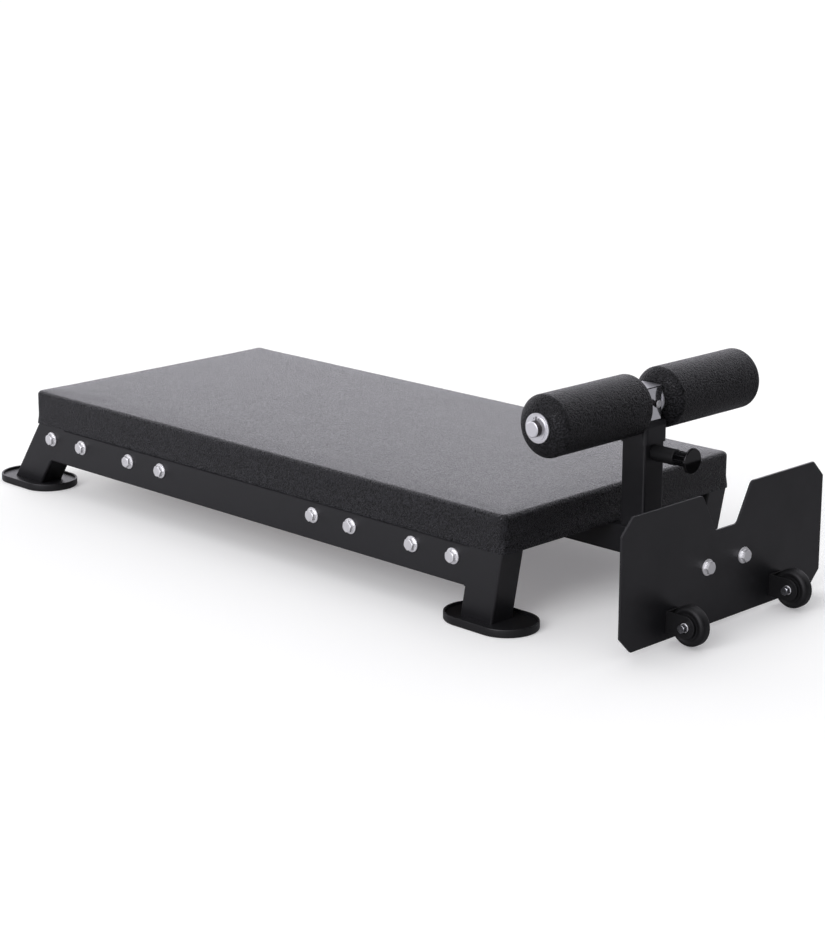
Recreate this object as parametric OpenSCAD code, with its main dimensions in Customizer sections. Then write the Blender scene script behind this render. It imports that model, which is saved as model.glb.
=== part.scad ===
// Floor glute ham bench. A long pad lies on a low frame with four splayed legs.
// Beyond its foot end a beam carries a post with height-adjustable ankle rollers,
// a foot plate and two transport wheels.
// X runs along the bench from its head end to its foot end, Y across it and Z up.
// The origin is on the floor, in the middle of the whole bench.

/* [Pad] */
// Length of the pad along the bench
pad_length = 1200; // [1000:10:1400]
// Width of the pad across the bench
pad_width = 563; // [530:1:600]
// Thickness of the pad at its edges
pad_thickness = 63.5; // [50:0.5:80]
// Corner radius of the pad seen from above
pad_corner_radius = 14; // [11:1:24]
// Radius that rounds the pad's upper edge
pad_edge_radius = 10; // [6:1:14]
// Radius that rounds the pad's lower edge
pad_lower_radius = 5; // [3:1:8]
// Rise of the pad's middle over its edges
pad_crown = 2; // [0.5:0.5:5]
// How far the pad's sides draw in between its corners
pad_draw_in = 1.5; // [0:0.5:4]
// Thickness of the plywood board in the pad
board_thickness = 15; // [13:1:20]
// Width of cushion left all round the board
board_margin = 20; // [18:1:40]
// Distance of the pad's bolts from the bench's middle line
pad_bolt_place = 150; // [100:5:190]

/* [Side rails and legs] */
// Height of the frame's top, where the pad lies, over the floor
deck_height = 126.5; // [115:0.5:160]
// Width of the frame over its side rails
frame_width = 559; // [520:1:590]
// Height of the side rail tube
rail_height = 68; // [60:1:76]
// Width of the rail and leg tubes across the bench
rail_width = 50; // [45:1:56]
// Depth of the leg tube, measured square to its length
leg_depth = 67; // [60:1:72]
// Wall thickness of the steel tubes
tube_wall = 3; // [2:0.5:3.5]
// Outer corner radius of the steel tubes
tube_corner = 4; // [4:0.5:6]
// Lean of the head legs from upright, in degrees
head_leg_lean = 35; // [20:1:40]
// Lean of the foot legs from upright, in degrees
foot_leg_lean = 10.4; // [5:0.2:20]
// Distance from the pad's head end to the head legs' top
head_leg_setback = 5.5; // [2:0.5:12]
// Distance from the pad's foot end to the foot legs' top
foot_leg_setback = 3.8; // [2:0.2:12]

/* [Foot cups] */
// Length of a foot cup along the bench
cup_length = 169.4; // [150:0.2:190]
// Width of a foot cup across the bench
cup_width = 104.8; // [90:0.2:120]
// Height of a foot cup's rim over the floor
cup_height = 13.7; // [11:0.1:18]
// Thickness of a foot cup's rim
cup_rim = 3.5; // [2.5:0.5:6]
// Thickness of a foot cup's rubber floor
cup_floor = 4; // [3:0.5:6]
// Thickness of the oval base plate under each leg
base_plate_thickness = 5; // [4:0.5:6]
// Shift of the head cups' middle from the legs' middle
head_cup_shift = 1.8; // [0:0.2:10]
// Shift of the foot cups' middle from the legs' middle
foot_cup_shift = 10.2; // [0:0.2:14]

/* [Cross members and beam] */
// Width and height of the square tube of the cross members, beam and post
member_size = 48; // [47:0.5:52]
// Distance from the pad's head end to the first cross member
head_member_place = 92.7; // [90:0.1:130]
// Distance from the pad's head end to the second cross member
second_member_place = 322.6; // [280:0.1:380]
// Distance from the third cross member to the pad's foot end
third_member_place = 387; // [350:0.5:420]
// Distance from the last cross member to the pad's foot end
foot_member_place = 154.1; // [140:0.1:190]
// Distance between the two bolts of an end plate
bolt_spacing = 90.8; // [86:0.1:100]
// Length of an end plate
end_plate_length = 124; // [122:1:140]
// Thickness of an end plate
end_plate_thickness = 6; // [4:0.5:8]

/* [Frame fasteners] */
// Thread diameter of the frame bolts
frame_bolt = 12; // [10:1:12]
// Width across the flats of the frame bolts' heads and nuts
frame_hex_width = 18; // [17:0.5:20]
// Height of the frame bolts' heads
frame_head_height = 7.5; // [6:0.5:9]
// Height of the frame nuts
frame_nut_height = 10; // [8:0.5:12]
// Diameter of the frame washers
frame_washer = 26.5; // [24:0.5:28]
// Thickness of the frame washers
frame_washer_thickness = 2; // [1.5:0.5:3]
// Thread diameter of the small bolts in the pad, wheels and shaft
small_bolt = 8; // [6:1:8]
// Width across the flats of the small heads and nuts
small_hex_width = 12.5; // [12:0.5:14]
// Height of the pad bolts' heads
small_head_height = 5; // [4:0.5:6]
// Height of the wheel bolts' heads
axle_head_height = 8.5; // [5:0.5:10]
// Height of the small nuts
small_nut_height = 6.5; // [5:0.5:8]
// Diameter of the small washers
small_washer = 15; // [14:0.5:18]
// Thickness of the small washers
small_washer_thickness = 1.2; // [1:0.2:2]
// Diameter of the tee nuts' flanges
tee_flange = 22; // [18:1:26]
// Length of a bolt's thread past its nut
thread_end = 3; // [2:0.5:6]

/* [Post and lift tube] */
// Distance from the pad's foot end to the post's middle
post_distance = 39.15; // [36:0.05:60]
// Height of the post over the beam
post_height = 171.5; // [160:0.5:200]
// Wall thickness of the post
post_wall = 2; // [1.5:0.5:2]
// Height of the plastic collar round the post's top
collar_height = 33; // [28:1:33]
// Thickness of the collar outside the post
collar_wall = 3.2; // [2:0.2:5]
// Thickness of the collar's lip on the post's end
collar_lip = 2; // [1:0.5:4]
// Length of the plastic liner inside the post
liner_length = 92; // [80:1:110]
// Outer width of the square lift tube
lift_tube_size = 40.6; // [38:0.2:41]
// Wall thickness of the lift tube
lift_tube_wall = 2.5; // [2:0.5:3]
// Length of the lift tube
lift_tube_length = 214; // [205:1:220]
// Corner radius of the lift tube
lift_tube_corner = 3; // [3:0.5:5]
// Height of the roller shaft over the post's top at the lowest setting
roller_height = 31.1; // [30:0.1:42]
// Distance from the roller shaft up to the lift tube's end
shaft_to_tube_end = 24.4; // [24:0.2:28]
// Thickness of the lift tube's end cap
tube_cap_thickness = 1.5; // [1:0.5:3]
// Depth of the cap's plug inside the lift tube
tube_cap_plug = 9; // [6:0.5:11]
// Distance between two height settings
setting_pitch = 15; // [12:0.5:15]
// Number of height settings
setting_count = 7; // [3:1:7]

/* [Rollers] */
// Diameter of the foam rollers
roller_diameter = 100.5; // [90:0.5:110]
// Length of a roller
roller_length = 225.6; // [180:0.2:260]
// Depth of the rounded roller ends along the shaft
roller_end_depth = 17; // [10:1:22]
// Diameter of the flat in the roller ends
roller_end_flat = 48; // [46:1:56]
// Outer diameter of the core sleeves
sleeve_diameter = 31; // [30:0.5:36]
// Diameter of the roller shaft
shaft_diameter = 25; // [22:0.5:26]
// Length of the shaft past each outer washer
shaft_end = 12.3; // [9:0.1:16]
// Diameter of the big washers beside the rollers
roller_washer = 46.8; // [42:0.2:50]
// Thickness of the big washers
roller_washer_thickness = 3; // [2:0.5:4]
// Outer diameter of the retaining rings
retaining_ring = 37; // [34:0.5:40]
// Thickness of the retaining rings
retaining_ring_thickness = 2; // [1.5:0.5:2.5]
// Depth of the shaft's ring grooves
groove_depth = 0.8; // [0.5:0.1:1.2]
// Diameter of the shaft lock screw's round head
lock_head = 12.4; // [11:0.2:14]
// Height of the shaft lock screw's head
lock_head_height = 7; // [5:0.5:9]
// Distance of the shaft lock screw's head from the lift tube
lock_head_gap = 4; // [0.5:0.5:6]

/* [Pull pin] */
// Distance from the post's top down to the pull pin
pin_drop = 48.5; // [47:0.5:60]
// Diameter of the pin's nose
pin_nose = 8; // [7:0.5:8.5]
// How far the nose reaches into the lift tube at rest
pin_engagement = 5; // [4:0.5:5.5]
// How far the pin can be pulled out
pin_travel = 8; // [7.5:0.5:10]
// Outer diameter of the pin's barrel
barrel_diameter = 26; // [25:0.5:30]
// Room for the pin's spring in the barrel when the pin is pulled right out
spring_pulled_length = 20.7; // [16:0.1:26]
// Bore of the pin's barrel
barrel_bore = 20; // [19:0.5:21]
// Thickness of the barrel's outer end
barrel_end = 4; // [3:0.5:6]
// Diameter of the pin's stem
stem_diameter = 10; // [9:0.5:10.5]
// Diameter of the knob's fluted neck
knob_neck = 24; // [22:0.5:24]
// Length of the knob over its neck and disc
knob_length = 41; // [34:0.5:50]
// Diameter of the knob's disc
knob_disc = 42; // [34:0.5:48]
// Thickness of the knob's disc
knob_disc_thickness = 4; // [3:0.5:6]
// Number of flutes round the knob's neck
flute_count = 8; // [6:1:10]
// Wire diameter of the pin's spring
spring_wire = 1.4; // [1:0.1:1.6]
// Number of the spring's turns
spring_turns = 7; // [5:1:9]

/* [Foot plate] */
// Distance from the pad's foot end to the foot plate's front
plate_distance = 209.5; // [190:0.1:240]
// Width of the foot plate
plate_width = 503.2; // [440:0.2:540]
// Height of the foot plate's lower edge over the floor
plate_lift = 8; // [5:0.1:12]
// Height of the foot plate's upper edge over the floor
plate_top = 219.8; // [205:0.2:240]
// Thickness of the foot plate
plate_thickness = 4; // [3:0.5:8]
// Size of the cut corners of the foot plate
plate_corner_cut = 26.4; // [15:0.2:35]
// Height of the notch's floor over the ground
notch_floor = 157.6; // [145:0.2:175]
// Width of the notch at its floor
notch_floor_width = 55; // [40:1:70]
// Width of the notch at the plate's upper edge
notch_top_width = 123; // [100:1:140]
// Radius of the notch's corners
notch_radius = 9; // [4:1:12]

/* [Wheels] */
// Diameter of the wheels
wheel_diameter = 64; // [56:0.5:66]
// Width of the tyres
tyre_width = 22; // [18:0.5:26]
// Radius of the tyres' shoulders
tyre_shoulder = 7; // [3:0.5:8]
// Outer diameter of the wheels' hubs
hub_diameter = 42; // [36:0.5:44]
// Distance of each wheel's middle from the bench's middle line
wheel_place = 130; // [100:1:170]
// Distance from the foot plate's front to the wheels' axles
axle_reach = 37; // [36:0.1:44]
// Height of the wheels' axles over the floor
axle_height = 37; // [36:0.5:42]
// Thickness of the wheel brackets
bracket_thickness = 3; // [2:0.5:4]
// Height of the wheel brackets
bracket_height = 36; // [32:1:44]

/* [Clearances] */
// Gap all round a bolt in its hole
hole_clearance = 0.5; // [0.3:0.1:0.8]
// Gap all round a shaft or pin that turns or slides
running_clearance = 0.05; // [0.02:0.01:0.1]
// Gap beside the ends of a piece that turns
end_clearance = 0.3; // [0.2:0.05:0.5]
// Gap between the collar's shoulders and the rollers' round ends
shoulder_clearance = 0.6; // [0.4:0.1:0.9]
// Gap all round the pull pin's nose in a height hole
nose_clearance = 0.25; // [0.2:0.05:0.4]
// Gap round pieces that sit inside others without moving
fitting_clearance = 0.3; // [0.1:0.1:0.5]

/* [Hidden] */
$fn = 48;

// Reach past a face, so that a cut goes clean through it
cut = 1;
// Steel, rubber and plastic colours
frame_black = [0.15, 0.15, 0.16];
plate_black = [0.16, 0.16, 0.17];
pad_black = [0.24, 0.24, 0.25];
roller_black = [0.20, 0.20, 0.21];
rubber_black = [0.12, 0.12, 0.12];
plastic_black = [0.10, 0.10, 0.11];
bright_steel = [0.82, 0.82, 0.84];
chrome_bright = [0.88, 0.88, 0.90];
board_tan = [0.72, 0.58, 0.40];

// Legs: their width along the bench and how far they lean over their height
base_top = cup_floor + base_plate_thickness;
head_leg_width = leg_depth / cos(head_leg_lean);
foot_leg_width = leg_depth / cos(foot_leg_lean);
head_leg_run = (deck_height - base_top) * tan(head_leg_lean);
foot_leg_run = (deck_height - base_top) * tan(foot_leg_lean);

// Reach of the bench past the pad's middle, and the shift that centres it
head_reach = pad_length / 2 - head_leg_setback + head_leg_run
    - head_leg_width / 2 - head_cup_shift + cup_length / 2;
foot_reach = pad_length / 2 + plate_distance + axle_reach + wheel_diameter / 2;
head_end = -pad_length / 2 + (head_reach - foot_reach) / 2;
foot_end = head_end + pad_length;

// Places along the bench
head_leg_outer = head_end + head_leg_setback;
foot_leg_outer = foot_end - foot_leg_setback;
head_cup_x = head_leg_outer - head_leg_run + head_leg_width / 2 + head_cup_shift;
foot_cup_x = foot_leg_outer - foot_leg_run - foot_leg_width / 2 + foot_cup_shift;
member_places = [
    head_end + head_member_place,
    head_end + second_member_place,
    foot_end - third_member_place,
    foot_end - foot_member_place
];
post_x = foot_end + post_distance;
plate_front = foot_end + plate_distance;
plate_back = plate_front - plate_thickness;
axle_x = plate_front + axle_reach;

// Places across the bench
rail_outer = frame_width / 2;
rail_inner = rail_outer - rail_width;
rail_middle = rail_outer - rail_width / 2;

// Heights
member_z = deck_height - member_size / 2;
post_top = deck_height + post_height;
pin_z = post_top - pin_drop;
roller_z = post_top + roller_height;
lift_tube_top = roller_z + shaft_to_tube_end;
lift_tube_bottom = lift_tube_top - lift_tube_length;

// Bolts: the stack that each one clamps
rail_grip = rail_width + end_plate_thickness;
beam_grip = member_size + end_plate_thickness;
plate_grip = plate_thickness + end_plate_thickness;
frame_bolt_extra = 2 * frame_washer_thickness + frame_nut_height + thread_end;
small_bolt_extra = 2 * small_washer_thickness + small_nut_height + thread_end;

// Post bushing: the room between the post and the lift tube
post_inside = member_size - 2 * post_wall;
liner_inside = lift_tube_size + 2 * running_clearance;

// Rollers: stations along the shaft from the bench's middle line
inner_washer_y = lift_tube_size / 2 + running_clearance;
roller_inner_y = inner_washer_y + roller_washer_thickness + end_clearance;
roller_outer_y = roller_inner_y + roller_length;
outer_washer_y = roller_outer_y + end_clearance;
groove_y = outer_washer_y + roller_washer_thickness + running_clearance;
shaft_half = outer_washer_y + roller_washer_thickness + shaft_end;
shaft_bore = shaft_diameter / 2 + running_clearance;

// Rollers' round ends: how far they draw back at a radius, and the radius at a draw
roller_end_power = 1.5;
roller_end_drop = (roller_diameter - roller_end_flat) / 2;
function end_draw(radius) =
    let (share = max(0, min(1, (radius - roller_end_flat / 2) / roller_end_drop)))
    roller_end_depth * (1 - pow(1 - pow(share, roller_end_power), 1 / roller_end_power));
function end_radius(draw) =
    let (share = max(0, min(1, draw / roller_end_depth)))
    roller_end_flat / 2 + roller_end_drop * pow(1 - pow(1 - share, roller_end_power), 1 / roller_end_power);

// Pull pin: stations along X
post_face = post_x + member_size / 2;
nose_tip = post_x + lift_tube_size / 2 - pin_engagement;
plunger_collar = post_face + end_clearance;
plunger_collar_thickness = 3;
barrel_length = end_clearance + plunger_collar_thickness + pin_travel
    + spring_pulled_length + barrel_end;
barrel_face = post_face + barrel_length;
spring_start = plunger_collar + plunger_collar_thickness;
spring_stop = barrel_face - barrel_end;
knob_start = barrel_face + end_clearance;
stem_hold = 14;

// Wheels: widths across the axle
hub_width = tyre_width + 1;
bracket_inside = hub_width + 2 * end_clearance;
bracket_width = bracket_inside + 2 * bracket_thickness;

// Closed outline from corners given as [x, y, radius], each rounded by an arc
arc_steps = 8;
function unit(v) = v / norm(v);
function corner_arc(before, at, after, radius) =
    let (
        u = unit(before - at),
        v = unit(after - at),
        half = acos(u * v) / 2,
        centre = at + unit(u + v) * (radius / sin(half)),
        first = at + u * (radius / tan(half)),
        last = at + v * (radius / tan(half)),
        a = atan2(first[1] - centre[1], first[0] - centre[0]),
        b = atan2(last[1] - centre[1], last[0] - centre[0]),
        turn = (b - a + 540) % 360 - 180
    )
    [for (i = [0 : arc_steps]) centre + radius * [
        cos(a + turn * i / arc_steps),
        sin(a + turn * i / arc_steps)
    ]];
function flat_point(corner) = [corner[0], corner[1]];
function rounded_outline(corners) =
    let (count = len(corners))
    [for (i = [0 : count - 1])
        let (
            at = flat_point(corners[i]),
            before = flat_point(corners[(i + count - 1) % count]),
            after = flat_point(corners[(i + 1) % count])
        )
        each (corners[i][2] > 0 ? corner_arc(before, at, after, corners[i][2]) : [at])
    ];

// Rectangle with round corners, centred
module rounded_square(width, height, radius) {
    square([width - 2 * radius, height], center = true);
    square([width, height - 2 * radius], center = true);
    for (x = [-1, 1], y = [-1, 1])
        translate([x * (width / 2 - radius), y * (height / 2 - radius)])
            circle(radius);
}

// Square-section tube along Z from 0, centred on its axis
module tube(width, depth, wall, corner, length) {
    linear_extrude(length)
        difference() {
            rounded_square(width, depth, corner);
            rounded_square(width - 2 * wall, depth - 2 * wall, corner - wall);
        }
}

// Slot-shaped outline, its length along X
module stadium(length, width) {
    square([length - width, width], center = true);
    for (x = [-1, 1])
        translate([x * (length - width) / 2, 0])
            circle(width / 2);
}

// Turns a shape built along Z to lie along +X
module along_x() {
    rotate([0, 90, 0])
        children();
}

// Turns a shape built along Z to lie along -Y
module along_y() {
    rotate([90, 0, 0])
        children();
}

// The same shape on the far side of the bench
module far_side() {
    mirror([0, 1, 0])
        children();
}

// Both sides of the bench
module both_sides() {
    children();
    far_side()
        children();
}

// Hexagon head on z = 0 with its round chamfer, and its shank below
head_chamfer = 1.1;
module hex_bolt(diameter, length, hex_width, head_height) {
    corner_radius = hex_width / 2 / cos(30);
    intersection() {
        cylinder(r = corner_radius, h = head_height, $fn = 6);
        union() {
            cylinder(r = corner_radius, h = head_height - head_chamfer);
            translate([0, 0, head_height - head_chamfer])
                cylinder(r1 = corner_radius, r2 = hex_width / 2 - head_chamfer / 2, h = head_chamfer);
        }
    }
    translate([0, 0, -length])
        cylinder(d = diameter, h = length);
}

// Hexagon nut that stands on z = 0
module hex_nut(diameter, hex_width, height) {
    difference() {
        cylinder(r = hex_width / 2 / cos(30), h = height, $fn = 6);
        translate([0, 0, -cut])
            cylinder(r = diameter / 2 + running_clearance, h = height + 2 * cut);
    }
}

// Flat washer that stands on z = 0
module washer(bolt, outer, thickness) {
    difference() {
        cylinder(d = outer, h = thickness);
        translate([0, 0, -cut])
            cylinder(r = bolt / 2 + running_clearance, h = thickness + 2 * cut);
    }
}

// Both bolt places of an end plate, spread along X
module bolt_pair() {
    for (side = [-1, 1])
        translate([side * bolt_spacing / 2, 0, 0])
            children();
}

// Every bolt place along the near rail, on the bolts' axis height
module rail_bolt_places() {
    for (x = member_places)
        translate([x, 0, member_z])
            bolt_pair()
                children();
}

// The holes of one rail's bolts, through everything between the rail's faces
module rail_bolt_holes() {
    rail_bolt_places()
        translate([0, -rail_inner + cut, 0])
            along_y()
                cylinder(r = frame_bolt / 2 + hole_clearance, h = rail_width + 2 * cut);
}

// Side rail, mitred against the legs
module rail() {
    low = deck_height - rail_height;
    head_top = head_leg_outer + head_leg_width;
    foot_top = foot_leg_outer - foot_leg_width;
    difference() {
        intersection() {
            translate([head_end, -rail_middle, low + rail_height / 2])
                along_x()
                    tube(rail_height, rail_width, tube_wall, tube_corner, pad_length);
            translate([0, -rail_inner + cut, 0])
                along_y()
                    linear_extrude(rail_width + 2 * cut)
                        polygon([
                            [head_top - rail_height * tan(head_leg_lean), low],
                            [foot_top - rail_height * tan(foot_leg_lean), low],
                            [foot_top, deck_height],
                            [head_top, deck_height]
                        ]);
        }
        rail_bolt_holes();
    }
}

// Leg tube that leans towards the head end, on its oval base plate
module leg(top_middle, lean, foot_x) {
    reach = 2 * deck_height;
    difference() {
        intersection() {
            translate([top_middle, -rail_middle, deck_height])
                rotate([0, lean, 0])
                    translate([0, 0, -reach])
                        tube(leg_depth, rail_width, tube_wall, tube_corner, 2 * reach);
            translate([foot_x - reach, -rail_outer - cut, base_top - cut])
                cube([2 * reach, rail_width + 2 * cut, deck_height - base_top + cut]);
        }
        rail_bolt_holes();
    }
    translate([foot_x, -rail_middle, cup_floor])
        linear_extrude(base_plate_thickness)
            stadium(
                cup_length - 2 * (cup_rim + fitting_clearance),
                cup_width - 2 * (cup_rim + fitting_clearance)
            );
}

module head_leg() {
    leg(head_leg_outer + head_leg_width / 2, head_leg_lean, head_cup_x);
}

module foot_leg() {
    leg(foot_leg_outer - foot_leg_width / 2, foot_leg_lean, foot_cup_x);
}

// Oval rubber cup that the base plate sits in
module foot_cup(x) {
    translate([x, -rail_middle, 0])
        difference() {
            linear_extrude(cup_height)
                stadium(cup_length, cup_width);
            translate([0, 0, cup_floor])
                linear_extrude(cup_height)
                    stadium(cup_length - 2 * cup_rim, cup_width - 2 * cup_rim);
        }
}

module rail_near() {
    color(frame_black)
        rail();
}

module rail_far() {
    color(frame_black)
        far_side()
            rail();
}

module head_leg_near() {
    color(frame_black)
        head_leg();
}

module head_leg_far() {
    color(frame_black)
        far_side()
            head_leg();
}

module foot_leg_near() {
    color(frame_black)
        foot_leg();
}

module foot_leg_far() {
    color(frame_black)
        far_side()
            foot_leg();
}

module head_cup_near() {
    color(rubber_black)
        foot_cup(head_cup_x);
}

module head_cup_far() {
    color(rubber_black)
        far_side()
            foot_cup(head_cup_x);
}

module foot_cup_near() {
    color(rubber_black)
        foot_cup(foot_cup_x);
}

module foot_cup_far() {
    color(rubber_black)
        far_side()
            foot_cup(foot_cup_x);
}

// End plate in the XY plane, z from 0 up, with its two bolt holes along X
module end_plate() {
    difference() {
        linear_extrude(end_plate_thickness)
            square([end_plate_length, member_size], center = true);
        bolt_pair()
            translate([0, 0, -cut])
                cylinder(r = frame_bolt / 2 + hole_clearance, h = end_plate_thickness + 2 * cut);
    }
}

// Cross member with an end plate at each rail and holes for the pad's bolts
module cross_member(x) {
    length = 2 * rail_inner;
    translate([x, 0, member_z])
        difference() {
            union() {
                translate([0, length / 2, 0])
                    along_y()
                        tube(member_size, member_size, tube_wall, tube_corner, length);
                both_sides()
                    translate([0, -rail_inner + end_plate_thickness, 0])
                        along_y()
                            end_plate();
            }
            for (side = [-1, 1])
                translate([0, side * pad_bolt_place, -member_size])
                    cylinder(r = small_bolt / 2 + hole_clearance, h = 2 * member_size);
        }
}

module head_cross_member() {
    color(frame_black)
        cross_member(member_places[0]);
}

module second_cross_member() {
    color(frame_black)
        cross_member(member_places[1]);
}

module third_cross_member() {
    color(frame_black)
        cross_member(member_places[2]);
}

// Both bolt places of an end plate that faces along the bench, spread along Y
module beam_bolt_places(x) {
    for (side = [-1, 1])
        translate([x, side * bolt_spacing / 2, member_z])
            children();
}

// The last cross member also has the holes of the beam's two bolts
module foot_cross_member() {
    color(frame_black)
        difference() {
            cross_member(member_places[3]);
            beam_bolt_places(member_places[3] - member_size)
                along_x()
                    cylinder(r = frame_bolt / 2 + hole_clearance, h = 2 * member_size);
        }
}

module rail_bolts() {
    color(bright_steel)
        both_sides()
            rail_bolt_places()
                translate([0, -rail_outer - frame_washer_thickness, 0])
                    along_y()
                        hex_bolt(frame_bolt, rail_grip + frame_bolt_extra, frame_hex_width, frame_head_height);
}

module rail_washers() {
    color(bright_steel)
        both_sides()
            rail_bolt_places() {
                translate([0, -rail_outer, 0])
                    along_y()
                        washer(frame_bolt, frame_washer, frame_washer_thickness);
                translate([0, -rail_inner + end_plate_thickness + frame_washer_thickness, 0])
                    along_y()
                        washer(frame_bolt, frame_washer, frame_washer_thickness);
            }
}

module rail_nuts() {
    nut_face = -rail_inner + end_plate_thickness + frame_washer_thickness;
    color(bright_steel)
        both_sides()
            rail_bolt_places()
                translate([0, nut_face + frame_nut_height, 0])
                    along_y()
                        hex_nut(frame_bolt, frame_hex_width, frame_nut_height);
}

// Beam from the last cross member to the foot plate, an end plate at each end
module centre_beam() {
    start = member_places[3] + member_size / 2;
    length = plate_back - start;
    color(frame_black)
        translate([start, 0, member_z]) {
            along_x()
                tube(member_size, member_size, tube_wall, tube_corner, length);
            for (x = [0, length - end_plate_thickness])
                translate([x, 0, 0])
                    rotate([90, 0, 90])
                        end_plate();
        }
}

module beam_bolts() {
    color(bright_steel)
        beam_bolt_places(member_places[3] - member_size / 2 - frame_washer_thickness)
            rotate([0, -90, 0])
                hex_bolt(frame_bolt, beam_grip + frame_bolt_extra, frame_hex_width, frame_head_height);
}

module beam_washers() {
    near_face = member_places[3] - member_size / 2 - frame_washer_thickness;
    far_face = member_places[3] + member_size / 2 + end_plate_thickness;
    color(bright_steel)
        for (x = [near_face, far_face])
            beam_bolt_places(x)
                along_x()
                    washer(frame_bolt, frame_washer, frame_washer_thickness);
}

module beam_nuts() {
    face = member_places[3] + member_size / 2 + end_plate_thickness + frame_washer_thickness;
    color(bright_steel)
        beam_bolt_places(face)
            along_x()
                hex_nut(frame_bolt, frame_hex_width, frame_nut_height);
}

// Chamfered plate with a rounded notch in its upper edge
plate_corner_radius = 3;
module foot_plate() {
    half = plate_width / 2;
    right_side = [
        [notch_floor_width / 2, notch_floor, notch_radius],
        [notch_top_width / 2, plate_top, notch_radius],
        [half - plate_corner_cut, plate_top, plate_corner_radius],
        [half, plate_top - plate_corner_cut, plate_corner_radius],
        [half, plate_lift + plate_corner_cut, plate_corner_radius],
        [half - plate_corner_cut, plate_lift, plate_corner_radius]
    ];
    left_side = [for (i = [len(right_side) - 1 : -1 : 0])
        [-right_side[i][0], right_side[i][1], right_side[i][2]]];
    color(plate_black)
        difference() {
            translate([plate_back, 0, 0])
                rotate([90, 0, 90])
                    linear_extrude(plate_thickness)
                        polygon(rounded_outline(concat(right_side, left_side)));
            beam_bolt_places(plate_back - cut)
                along_x()
                    cylinder(r = frame_bolt / 2 + hole_clearance, h = plate_thickness + 2 * cut);
        }
}

module plate_bolts() {
    color(bright_steel)
        beam_bolt_places(plate_front + frame_washer_thickness)
            along_x()
                hex_bolt(frame_bolt, plate_grip + frame_bolt_extra, frame_hex_width, frame_head_height);
}

module plate_washers() {
    color(bright_steel)
        for (x = [plate_front, plate_back - end_plate_thickness - frame_washer_thickness])
            beam_bolt_places(x)
                along_x()
                    washer(frame_bolt, frame_washer, frame_washer_thickness);
}

module plate_nuts() {
    face = plate_back - end_plate_thickness - frame_washer_thickness - frame_nut_height;
    color(bright_steel)
        beam_bolt_places(face)
            along_x()
                hex_nut(frame_bolt, frame_hex_width, frame_nut_height);
}

// Hollow square post with the hole for the pull pin's nose
module post() {
    color(frame_black)
        difference() {
            translate([post_x, 0, deck_height])
                tube(member_size, member_size, post_wall, tube_corner, post_height);
            translate([post_x, 0, pin_z])
                along_x()
                    cylinder(r = pin_nose / 2 + nose_clearance, h = member_size);
        }
}

// Side view of the collar over the post's top: its shoulders follow the rollers' ends
collar_size = member_size + 2 * collar_wall;
shoulder_steps = 5;
module collar_side_view() {
    low = roller_height - end_radius(collar_size / 2 + shoulder_clearance - roller_inner_y);
    shoulder = [for (i = [0 : shoulder_steps])
        let (z = collar_lip + (low - collar_lip) * i / shoulder_steps)
        [roller_inner_y + end_draw(roller_height - z) - shoulder_clearance, z]];
    left = [for (i = [shoulder_steps : -1 : 0]) [-shoulder[i][0], shoulder[i][1]]];
    polygon(concat(
        shoulder,
        [[collar_size / 2, -collar_height], [-collar_size / 2, -collar_height]],
        left
    ));
}

// Upright bar with the collar's outer shape, from its lower edge to its lip
module collar_bar() {
    intersection() {
        translate([0, 0, -collar_height])
            linear_extrude(collar_height + collar_lip)
                rounded_square(collar_size, collar_size, tube_corner + collar_wall);
        intersection_for (turn = [0, 90])
            rotate([90, 0, turn])
                linear_extrude(collar_size, center = true)
                    collar_side_view();
    }
}

// Plastic collar round the post's top, with the liner that guides the lift tube
module post_bushing() {
    color(plastic_black)
        difference() {
            translate([post_x, 0, post_top])
                union() {
                    difference() {
                        collar_bar();
                        translate([0, 0, -collar_height - cut])
                            linear_extrude(collar_height + cut)
                                rounded_square(member_size, member_size, tube_corner);
                        linear_extrude(collar_lip + cut)
                            rounded_square(liner_inside, liner_inside, lift_tube_corner);
                    }
                    translate([0, 0, -liner_length])
                        linear_extrude(liner_length)
                            difference() {
                                rounded_square(post_inside, post_inside, tube_corner - post_wall);
                                rounded_square(liner_inside, liner_inside, lift_tube_corner);
                            }
                }
            translate([post_x, 0, pin_z])
                along_x()
                    cylinder(r = pin_nose / 2 + hole_clearance, h = member_size);
        }
}

// Round housing of the pull pin, open towards the post
module pin_barrel() {
    color(frame_black)
        translate([post_face, 0, pin_z])
            along_x()
                difference() {
                    cylinder(d = barrel_diameter, h = barrel_length);
                    translate([0, 0, -cut])
                        cylinder(d = barrel_bore, h = barrel_length - barrel_end + cut);
                    cylinder(r = stem_diameter / 2 + running_clearance, h = barrel_length + cut);
                }
}

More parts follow.
